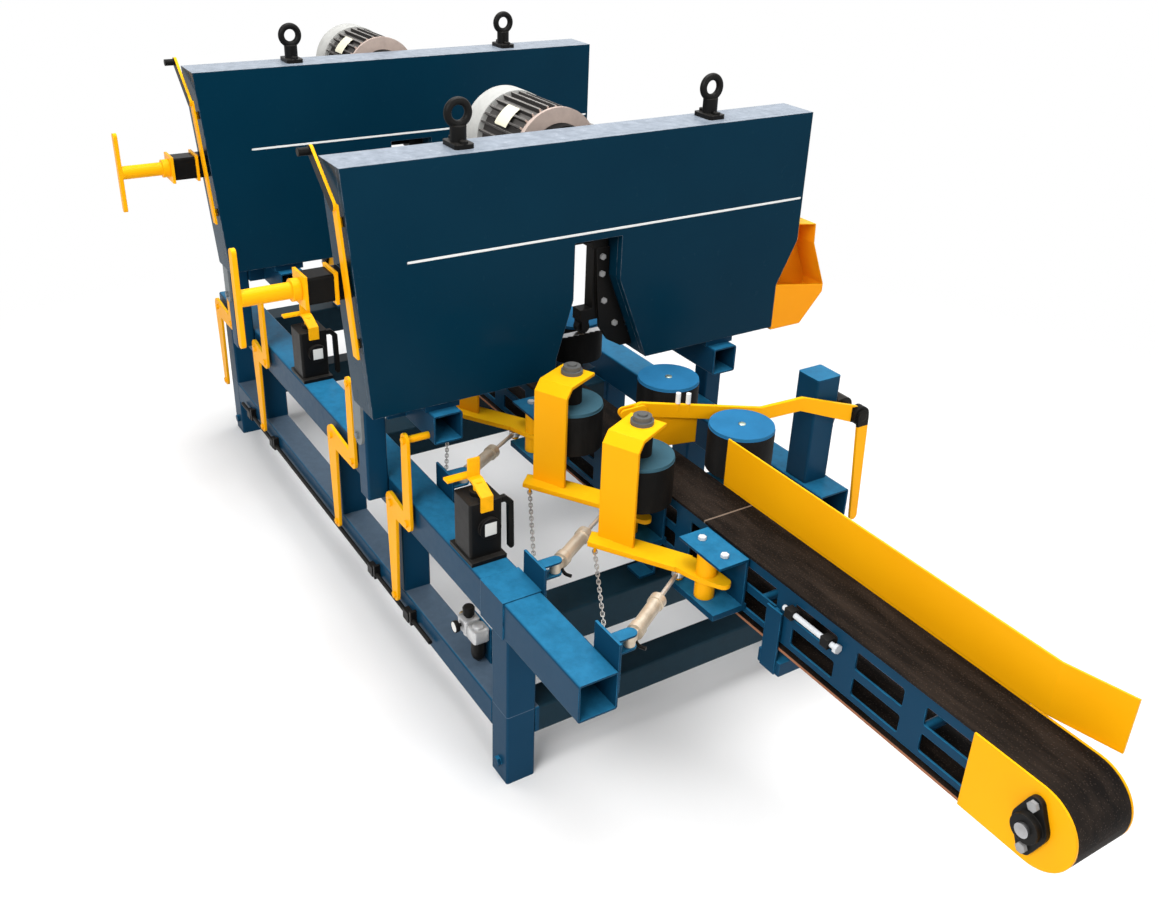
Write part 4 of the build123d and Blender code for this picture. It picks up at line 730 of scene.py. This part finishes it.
# Air regulator. A small filter and regulator of cast aluminium on an upright bracket on the left bottom
# rail, with a smoked bowl under the filter, and a knob and a plain gauge on the regulator.
CAST_PALE = (0.60, 0.60, 0.60, 1)
CAST_DULL = (0.34, 0.34, 0.35, 1)
AIR_BRASS = (0.55, 0.42, 0.20, 1)
REGULATOR_X, FILTER_X = 0.415, 0.481
BOWL_FOOT, BONNET_FOOT, BODY_FOOT, KNOB_FOOT, PORT_Z = 0.2770, 0.3365, 0.3620, 0.4095, 0.386
BODY_HALF, BODY_SQUARE, PORT_SUNK = 0.029, 7, 0.001
AIR_BODY = ((0, 0), (0.026, 0), (0.029, 0.003), (0.029, 0.045), (0.026, 0.048), (0, 0.048))
AIR_CAP = ((0, 0), (0.019, 0), (0.019, 0.006), (0.013, 0.011), (0, 0.012))
AIR_BONNET = ((0, 0), (0.015, 0), (0.019, 0.005), (0.019, 0.026), (0, 0.026))
AIR_BOWL = ((0, 0), (0.006, 0), (0.006, 0.007), (0.015, 0.010), (0.021, 0.018), (0.024, 0.032),
            (0.024, 0.0855), (0, 0.0855))
AIR_KNOB = ((0, 0), (0.013, 0), (0.013, 0.008), (0.019, 0.010), (0.0205, 0.034), (0.017, 0.040), (0, 0.041))
AIR_GAUGE = ((0, 0), (0.006, 0), (0.006, 0.010), (0.0195, 0.012), (0.0205, 0.015), (0.0205, 0.026),
             (0.019, 0.0275), (0.0176, 0.0265), (0, 0.0265))
GAUGE_FACE = ((0, 0.0262), (0.0174, 0.0262), (0.0174, 0.0268), (0, 0.0268))
NIPPLE_R, NIPPLE_LONG = 0.012, 0.012
AIR_INLET = ((0, 0), (0.013, 0), (0.013, 0.014), (0.009, 0.0145), (0.009, 0.026), (0, 0.026))
BRACKET_HIGH, BRACKET_HALF, BRACKET_SQUARE = 0.136, (0.066, 0.003), 40
OUTWARDS, BACKWARDS = (0, -1, 0), (-1, 0, 0)

cast_alu = metal("cast_alu", CAST_PALE, CAST_DULL, gloss=0.38, metallic=0.6)
air_brass = metal("air_brass", AIR_BRASS, STEEL_STAIN, gloss=0.35)
for piece, x, foot, profile, squareness, finish, slot in (
        ("regulator_body", REGULATOR_X, BODY_FOOT, AIR_BODY, BODY_SQUARE, cast_alu, "cylinder_metal"),
        ("filter_body", FILTER_X, BODY_FOOT, AIR_BODY, BODY_SQUARE, cast_alu, "cylinder_metal"),
        ("regulator_bonnet", REGULATOR_X, BONNET_FOOT, AIR_BONNET, 2, cast_alu, "cylinder_metal"),
        ("filter_cap", FILTER_X, KNOB_FOOT, AIR_CAP, 2, cast_alu, "cylinder_metal"),
        ("filter_bowl", FILTER_X, BOWL_FOOT, AIR_BOWL, 2, elbow_black, "black_metal"),
        ("regulator_knob", REGULATOR_X, KNOB_FOOT, AIR_KNOB, 2, elbow_black, "black_metal")):
    add_piece(turned(piece, (x, LEFT_RAIL_Y, foot), UPWARDS, profile, squareness), finish, "base")
air_middle = (REGULATOR_X + FILTER_X) / 2
port_out = BODY_HALF - PORT_SUNK
for piece, x, y, axis, profile, finish, slot in (
        ("air_gauge", REGULATOR_X, -port_out, OUTWARDS, AIR_GAUGE, elbow_black, "black_metal"),
        ("gauge_face", REGULATOR_X, -port_out, OUTWARDS, GAUGE_FACE, label_paper, "cylinder_metal"),
        ("air_nipple", air_middle + NIPPLE_LONG / 2, 0, BACKWARDS, block(NIPPLE_R, NIPPLE_LONG), air_brass,
         "bare_steel"),
        ("air_inlet", REGULATOR_X - port_out, 0, BACKWARDS, AIR_INLET, air_brass, "bare_steel")):
    add_piece(turned(piece, (x, LEFT_RAIL_Y + y, PORT_Z), axis, profile), finish, "base")
bracket_foot = (air_middle, LEFT_RAIL_Y + port_out + BRACKET_HALF[1], BOTTOM_RAIL_TOP)
bracket = turned("air_bracket", bracket_foot, UPWARDS, block(1, BRACKET_HIGH), BRACKET_SQUARE, BRACKET_HALF)
add_piece(bracket, blue_paint, "base")


# Limit chains. Zinc-plated welded links, dulled by dust, hung between a peg under each arm's foot
# and a peg on the rail bracket.
CHAIN_LINKS = 23      # odd, so that both end links lie flat for their pegs
CHAIN_START = np.array((0.020, -0.160, 0.779))
CHAIN_END = np.array((0.343, -0.3275, 0.722))
LINK_WIDE, END_LINK_WIDE, LINK_WIRE, LINK_PLAY = 0.0135, 0.0165, 0.0036, 0.0006
LINK_STEPS, WIRE_SIDES = 24, 8
CHAIN_ZINC = (0.40, 0.40, 0.39, 1)
CHAIN_DULL = (0.20, 0.18, 0.16, 1)


def chain_links(start, end):
    """Oval links in a row. A link's wire follows x = h * sgn(cos t) + r cos t, y = r sin t, with r half its
    width and h half its straight side; every second link is turned a quarter about the row, and the end
    links, which hold the pegs, are wider."""
    line = end - start
    pitch = np.linalg.norm(line) / CHAIN_LINKS
    along = unit(line)
    up = unit(np.array((0, 0, 1.0)) - along * along[2])
    flat = np.cross(up, along)
    step = np.arange(CHAIN_LINKS)
    wide = np.where((step == 0) | (step == CHAIN_LINKS - 1), END_LINK_WIDE, LINK_WIDE)
    r = ((wide - LINK_WIRE) / 2)[:, None]
    half = (pitch + LINK_PLAY + LINK_WIRE) / 2 - r
    t = (np.arange(LINK_STEPS) + 0.5) * 2 * math.pi / LINK_STEPS
    x = half * np.sign(np.cos(t)) + r * np.cos(t)
    y = r * np.sin(t)
    middle = start + (step[:, None] + 0.5) / CHAIN_LINKS * line
    across = np.where(step[:, None] % 2 == 0, flat, up)
    path = middle[:, None, :] + x[..., None] * along + y[..., None] * across[:, None, :]
    return tube(path, LINK_WIRE / 2, WIRE_SIDES, closed=True)


chain_zinc = metal("chain_zinc", CHAIN_ZINC, CHAIN_DULL, gloss=0.4)
for number in (1, 2, 3):
    start, end = roll_axes[number] + CHAIN_START, roll_axes[number] + CHAIN_END
    links = grid_mesh(f"limit_chain_{number}", chain_links(start, end), closed_u=True, closed_v=True)
    chain = add_piece(links, chain_zinc)
    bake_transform(chain)
    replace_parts(chain, "limit_chains")


# Hold-down. Bent yellow flat bar on a black shaft, with a hanging shoe and two white nylon studs;
# the shaft turns in a pillow block on the post and carries the lever.
NYLON = (0.85, 0.85, 0.83, 1)
SHAFT_Y, SHAFT_Z, HUB_RADIUS = BELT_Y + 0.722, 0.960, 0.0345
STUDS = ((0.5736, 0.0529, 1.0985), (0.5811, 0.0882, 1.0925))   # along, across, foot
STUD_HALF = 0.0095
hub_and_studs = [zone(BLACK, y=around(SHAFT_Y, HUB_RADIUS), z=around(SHAFT_Z, HUB_RADIUS))]
for x, y, foot in STUDS:
    hub_and_studs.append(zone(NYLON, around(x, STUD_HALF), around(BELT_Y + y, STUD_HALF), (foot, FAR)))
dress("hold_down_arm", yellow("hold_down_paint", *hub_and_studs))


# Saw heads. Each is a welded sheet tray with a pressed front pan screwed over it, sprayed blue and
# glossier than the frame, with a black tension tube and throat rail and yellow plates on the tube;
# a thin white line is painted across the front. The heads' blue is set darker than the frame's as painted
# shade, and a pale grey-blue painted sheen lies on their upper faces and edges.
# painted shade: the heads are the frame's paint, set darker here as shade
HEAD_SHADED_BLUE = (0.0016, 0.027, 0.052, 1)
HEAD_SHADED_BLUE_DEEP = (0.0012, 0.021, 0.042, 1)
# painted sheen: pale grey-blue laid on the heads' upper faces and edges, for their grazing reflection
HEAD_SHEEN = (0.33, 0.37, 0.43, 1)
STRIPE_WHITE = (0.80, 0.81, 0.80, 1)
STRIPE_DEEP = (0.72, 0.73, 0.72, 1)
STRIPE_DUST = (0.6, 0.6, 0.58, 1)
STRIPE_Y, STRIPE_Z = (-0.673, 0.857), (1.545, 1.553)             # across from the belt's middle, up
TUBE_X, TUBE_Z, TUBE_LEFT = (-0.1470, -0.0540), (1.4395, 1.5345), -0.8418   # from the front, up, across
TUBE_PLATES = ((-0.9715, -0.9605), (-0.8785, -0.8675))           # outer plate and collar, across
THROAT_HALF, THROAT_Z = 0.0860, (1.4820, 1.5208)


def head_paint(name, *zones):
    """The head's blue, set darker than the frame's as painted shade, with a painted sheen on its upper faces.
    """
    return painted(name, HEAD_SHADED_BLUE, HEAD_SHADED_BLUE_DEEP, HEAD_SHEEN, dust_and_sheen_share=0.8, gloss=0.22, shine=0.04,
                   zones=zones)


stripe_white = painted("stripe_white", STRIPE_WHITE, STRIPE_DEEP, STRIPE_DUST, gloss=0.4, edge=THIN_EDGE)
cover_paint = head_paint("cover_paint")
for k, front in HEAD_FRONTS.items():
    dress(f"head_housing_{k}", head_paint(
        f"housing_paint_{k}", zone(BLACK, from_datum(front, TUBE_X), (-FAR, BELT_Y + TUBE_LEFT), TUBE_Z),
        *(zone(YELLOW, y=from_datum(BELT_Y, span)) for span in TUBE_PLATES),
        zone(BLACK, y=around(BELT_Y, THROAT_HALF), z=THROAT_Z)))
    dress(f"head_cover_{k}", cover_paint)
    stripe = flat_plate(f"stripe_{k}", front + PLATE_GAP, from_datum(BELT_Y, STRIPE_Y), STRIPE_Z)
    add_piece(stripe, stripe_white, f"head_{k}")


# Band wheels and tension slide. Cast iron wheels with turned rims; the idle wheel's axle rides on a
# slide that the tension screw draws outwards.
WHEEL_IRON = (0.28, 0.28, 0.29, 1)
WHEEL_STAIN = (0.12, 0.11, 0.10, 1)
wheel_iron = metal("wheel_iron", WHEEL_IRON, WHEEL_STAIN, (1, 0.2, 0.2), gloss=0.35)
for k in (1, 2):
    for kind in ("drive_wheel", "idle_wheel", "tension_slide", "motor_pulley"):
        dress(f"{kind}_{k}", wheel_iron)


# Saw bands. Thin spring steel welded into a loop over both wheels, with hooked teeth ground along the
# edge that meets the timber.
BAND_STEEL = (0.60, 0.61, 0.62, 1)
BAND_STAIN = (0.40, 0.38, 0.36, 1)
TOOTH_PITCH, TOOTH_DEEP = 0.022, 0.0065
BAND_THICK = 0.0012
TOOTH_SHAPE = ((0.0, 0.0), (0.12, 0.10), (0.45, 0.55), (0.80, 1.0), (0.83, 0.92), (0.86, 0.30), (0.92, 0.03))


def toothed_band(name, low, high):
    """Loop of flat steel: two half circles joined by straight runs, in the plane across the machine.

    At s along the loop, (y, z) = (y(s) + r * sin(turn), middle - r * cos(turn)), where the turn stands still
    on the runs, and the front edge follows the tooth shape of (share of the pitch, share of the depth).
    """
    outer = (high.z - low.z) / 2
    middle_z = (high.z + low.z) / 2
    left, right = low.y + outer, high.y - outer
    run, bend = right - left, math.pi * outer
    teeth = round(2 * (run + bend) / TOOTH_PITCH)
    share, depth = np.array(TOOTH_SHAPE).T
    s = ((np.arange(teeth)[:, None] + share) / teeth).ravel() * 2 * (run + bend)
    edge = high.x - TOOTH_DEEP + TOOTH_DEEP * np.tile(depth, teeth)
    lower, climb = s < run, (s >= run) & (s < run + bend)
    upper = (s >= run + bend) & (s < 2 * run + bend)
    turn = np.select([lower, climb, upper], [0 * s, (s - run) / outer, 0 * s + math.pi],
                     math.pi + (s - 2 * run - bend) / outer)
    y = np.select([lower, climb, upper], [left + s, 0 * s + right, right - (s - run - bend)], left)
    back, inner = 0 * s + low.x, outer - BAND_THICK
    section = [np.stack([x, y + radius * np.sin(turn), middle_z - radius * np.cos(turn)], -1)
               for radius, x in ((inner, back), (outer, back), (outer, edge), (inner, edge))]
    return grid_mesh(name, np.stack(section, axis=1), closed_u=True, closed_v=True)


band_steel = metal("band_steel", BAND_STEEL, BAND_STAIN, (0.05, 1, 1), gloss=0.2)
for k in (1, 2):
    band = toothed_band(f"toothed_band_{k}", *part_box(f"saw_band_{k}"))
    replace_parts(add_piece(band, band_steel, f"head_{k}"), f"saw_band_{k}")


# Motors. Finned castings with a pale pressed cowl and a wire grille over the fan, a bent rating plate of
# plain tin and a pale end bell; they stand off the back of each head on three posts and drive by a
# ribbed belt.
MOTOR_FINS = (0.060, 0.056, 0.054, 1)
MOTOR_DEEP = (0.030, 0.028, 0.027, 1)
MOTOR_EDGE = (0.40, 0.38, 0.36, 1)
COWL_GREY = (0.46, 0.46, 0.44, 1)
BELL_PALE = (0.50, 0.40, 0.35, 1)
PLATE_PALE = (0.80, 0.77, 0.60, 1)
PLATE_DULL = (0.66, 0.63, 0.50, 1)
COWL_FROM, BELL_X = -0.5409, (-0.2985, -0.2559)     # from the head's front
MOTOR_Y, MOTOR_Z = BELT_Y - 0.010, 1.742
PLATE_X, PLATE_LONG, PLATE_RADIUS, PLATE_PROUD = -0.415, 0.080, 0.1484, 0.0015
PLATE_ANGLE, PLATE_ARC = math.radians(136), math.radians(31)
GRILLE_RINGS = np.linspace(0.022, 0.112, 7)
GRILLE_WIRE, GRILLE_SPOKES, SPOKE_STEPS = 0.0018, 6, 5
SPOKE_OUT = 2.5 * GRILLE_WIRE        # the spokes lie over the rings
INLET_R, INLET_DEEP = 0.116, 0.0006


def rating_plate(name, front):
    """Sheet bent round the fin tips: x = along, (y, z) = axis + radius * (cos a, sin a), edges laid down."""
    u, v, lift = pillow(8)
    a = PLATE_ANGLE + v * PLATE_ARC / 2
    out = np.stack([0 * a, np.cos(a), np.sin(a)], -1)
    axis = np.stack([front + PLATE_X + u * PLATE_LONG / 2, 0 * u + MOTOR_Y, 0 * u + MOTOR_Z], -1)
    back = axis + PLATE_RADIUS * out
    return thin_shell(name, back + PLATE_PROUD * lift * out, back)


def cowl_wires(x, radius, angle, closed):
    """Round wires on the cowl's end, along (y, z) = axis + radius * (cos angle, sin angle)."""
    y, z = MOTOR_Y + radius * np.cos(angle), MOTOR_Z + radius * np.sin(angle)
    return tube(np.stack([0 * y + x, y, z], -1), GRILLE_WIRE, WIRE_SIDES, closed)


plate_tin = painted("plate_tin", PLATE_PALE, PLATE_DULL, PLATE_DULL, gloss=0.4, edge=THIN_EDGE)
grille_zinc = metal("grille_zinc", CHAIN_ZINC, CHAIN_DULL, gloss=0.35)
# the drive belt's paler patches are painted highlight
drive_rubber = rubber("drive_rubber", ROLL_RUBBER, ROLL_SHINE, wear_and_shine=0.5)
ring_turn = np.linspace(0, 2 * math.pi, ROUND_STEPS, endpoint=False)
spoke_turn = (np.arange(GRILLE_SPOKES) * 2 * math.pi / GRILLE_SPOKES)[:, None]
spoke_reach = np.linspace(GRILLE_RINGS[0], GRILLE_RINGS[-1], SPOKE_STEPS)
for k, front in HEAD_FRONTS.items():
    dress(f"motor_{k}", painted(
        f"motor_paint_{k}", MOTOR_FINS, MOTOR_DEEP, MOTOR_EDGE, dust_and_sheen_share=0.6, gloss=0.45,
        zones=[zone(COWL_GREY, x=(-FAR, front + COWL_FROM)), zone(BELL_PALE, x=from_datum(front, BELL_X))]))
    dress(f"drive_belt_{k}", drive_rubber)
    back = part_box(f"motor_{k}")[0].x
    rings = cowl_wires(back - GRILLE_WIRE, GRILLE_RINGS[:, None], ring_turn, closed=True)
    spokes = cowl_wires(back - SPOKE_OUT, spoke_reach, spoke_turn, closed=False)
    inlet = turned(f"fan_inlet_{k}", (back, MOTOR_Y, MOTOR_Z), BACKWARDS, block(INLET_R, INLET_DEEP))
    for mesh, finish in (
            (rating_plate(f"motor_plate_{k}", front), plate_tin), (inlet, elbow_black),
            (grid_mesh(f"fan_rings_{k}", rings, closed_u=True, closed_v=True), grille_zinc),
            (grid_mesh(f"fan_spokes_{k}", spokes, closed_v=True), grille_zinc)):
        add_piece(mesh, finish, f"head_{k}")


# Hoist rings and blade guides. Black forged swivel eyes bolted to the roof of each head,
# and a black guide on the T rail of the throat with dull steel bolts.
GUIDE_BOLTS = (-0.0638, -0.0550)     # from the head's front
black_paint = black("black_paint")
for k, front in HEAD_FRONTS.items():
    dress(f"hoist_rings_{k}", black_paint)
    dress(f"guide_arm_{k}", black(f"guide_black_{k}", zone(BOLT_STEEL, x=from_datum(front, GUIDE_BOLTS))))


# Yellow fittings of the heads. T handle on the tension screw, Z-shaped lift hangers of flat bar, the edge
# bar that turns back over the roof to a black knob, and the sawdust scoop, folded from thinner sheet.
SCOOP_ORANGE = (0.93, 0.36, 0.006, 1)
SCOOP_DEEP = (0.86, 0.28, 0.004, 1)
KNOB_LEFT = -0.8862      # from the belt's middle to where the knob begins
HANGER_CORE, HANGER_BOLT, HANGER_THICK, HANGER_SKIN = 0.017, 0.008, 0.010, 0.0006
HANGER_BACKS = np.array((0.017, 0.493))       # behind the foremost edge, where the bars hang
HANGER_STEPS = np.array((0.133, 0.207))
HANGER_CROSS = (0.640, 0.650)                 # heights between which the bars step back
HANGER_HALVES = np.array((0.0245, 0.0290, 0.0400, 0.0235))     # half widths, from the top down
CORNER_STEPS = 7


def hanger_bars(low, high):
    """Flat bars along a Z path that steps back beside the rail, with the bar's four edges carried along it.

    Inside a corner the outline stands off by half the bar's width on the mitre of the two runs,
    (n1 + n2) / (1 + n1.n2), and outside it goes round from n1 to n2; each end is a half circle.
    """
    x = high.x - HANGER_BACKS
    heights = (high.z - HANGER_CORE, *HANGER_CROSS, low.z + HANGER_CORE)
    across = np.stack([x, x, x - HANGER_STEPS, x - HANGER_STEPS], axis=1)
    path = np.stack([across, np.broadcast_to(heights, across.shape)], axis=-1)
    runs = unit(np.diff(path, axis=1))
    normals = np.stack([-runs[..., 1], runs[..., 0]], axis=-1)
    turn = np.linspace(0, math.pi / 2, CORNER_STEPS)
    spot = np.repeat((0, 1, 2, 3), CORNER_STEPS)
    before = normals[:, (0, 0, 1, 2)][:, spot]
    after = normals[:, (0, 1, 2, 2)][:, spot]
    mitre = (before + after) / (1 + (before * after).sum(-1, keepdims=True))
    part = np.tile(turn / turn[-1], 4)[:, None]
    rounded = unit(before * (1 - part) + after * part)
    inside = (before[..., :1] * after[..., 1:] - before[..., 1:] * after[..., :1]) > 0
    none = np.zeros(2 * CORNER_STEPS)
    half = HANGER_HALVES[spot] * np.concatenate([np.cos(turn[::-1]), none + 1, np.cos(turn)])
    bulge = HANGER_HALVES[spot] * np.concatenate([-np.sin(turn[::-1]), none, np.sin(turn)])
    middle = path[:, spot] + bulge[:, None] * runs[:, np.minimum(spot, 2)]
    left = middle + np.where(inside, mitre, rounded) * half[:, None]
    right = middle - np.where(inside, rounded, mitre) * half[:, None]
    edges = np.stack([left, right, right, left], axis=2)
    outer, inner = from_datum(low.y + HANGER_BOLT, (-HANGER_SKIN, HANGER_THICK + HANGER_SKIN))
    y = np.broadcast_to((outer, outer, inner, inner), edges.shape[:-1])
    return np.stack([edges[..., 0], y, edges[..., 1]], axis=-1)


scoop_paint = painted("scoop_paint", SCOOP_ORANGE, SCOOP_DEEP, YELLOW_SHEEN, dust_and_sheen_share=0.8, gloss=0.36)
for k in (1, 2):
    dress(f"tension_handle_{k}", yellow_paint)
    dress(f"lift_hangers_{k}", yellow_paint)
    bars = grid_mesh(f"hanger_bars_{k}", hanger_bars(*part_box(f"lift_hangers_{k}")), closed_v=True)
    add_piece(bars, yellow_paint, f"head_{k}")
    dress(f"latch_bar_{k}", yellow(f"latch_paint_{k}", zone(BLACK, y=(-FAR, BELT_Y + KNOB_LEFT))))
    dress(f"chute_{k}", scoop_paint)


# Carriages. Blue square tubes under each head with a leg each side that runs on the rail;
# the left leg has a grey wear plate.
WEAR_GREY = (0.16, 0.18, 0.19, 1)
WEAR_DEEP = 0.0185
for k in (1, 2):
    left_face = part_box(f"carriage_{k}")[0].y
    dress(f"carriage_{k}", blue(f"carriage_paint_{k}", zone(WEAR_GREY, y=(-FAR, left_face + WEAR_DEEP))))
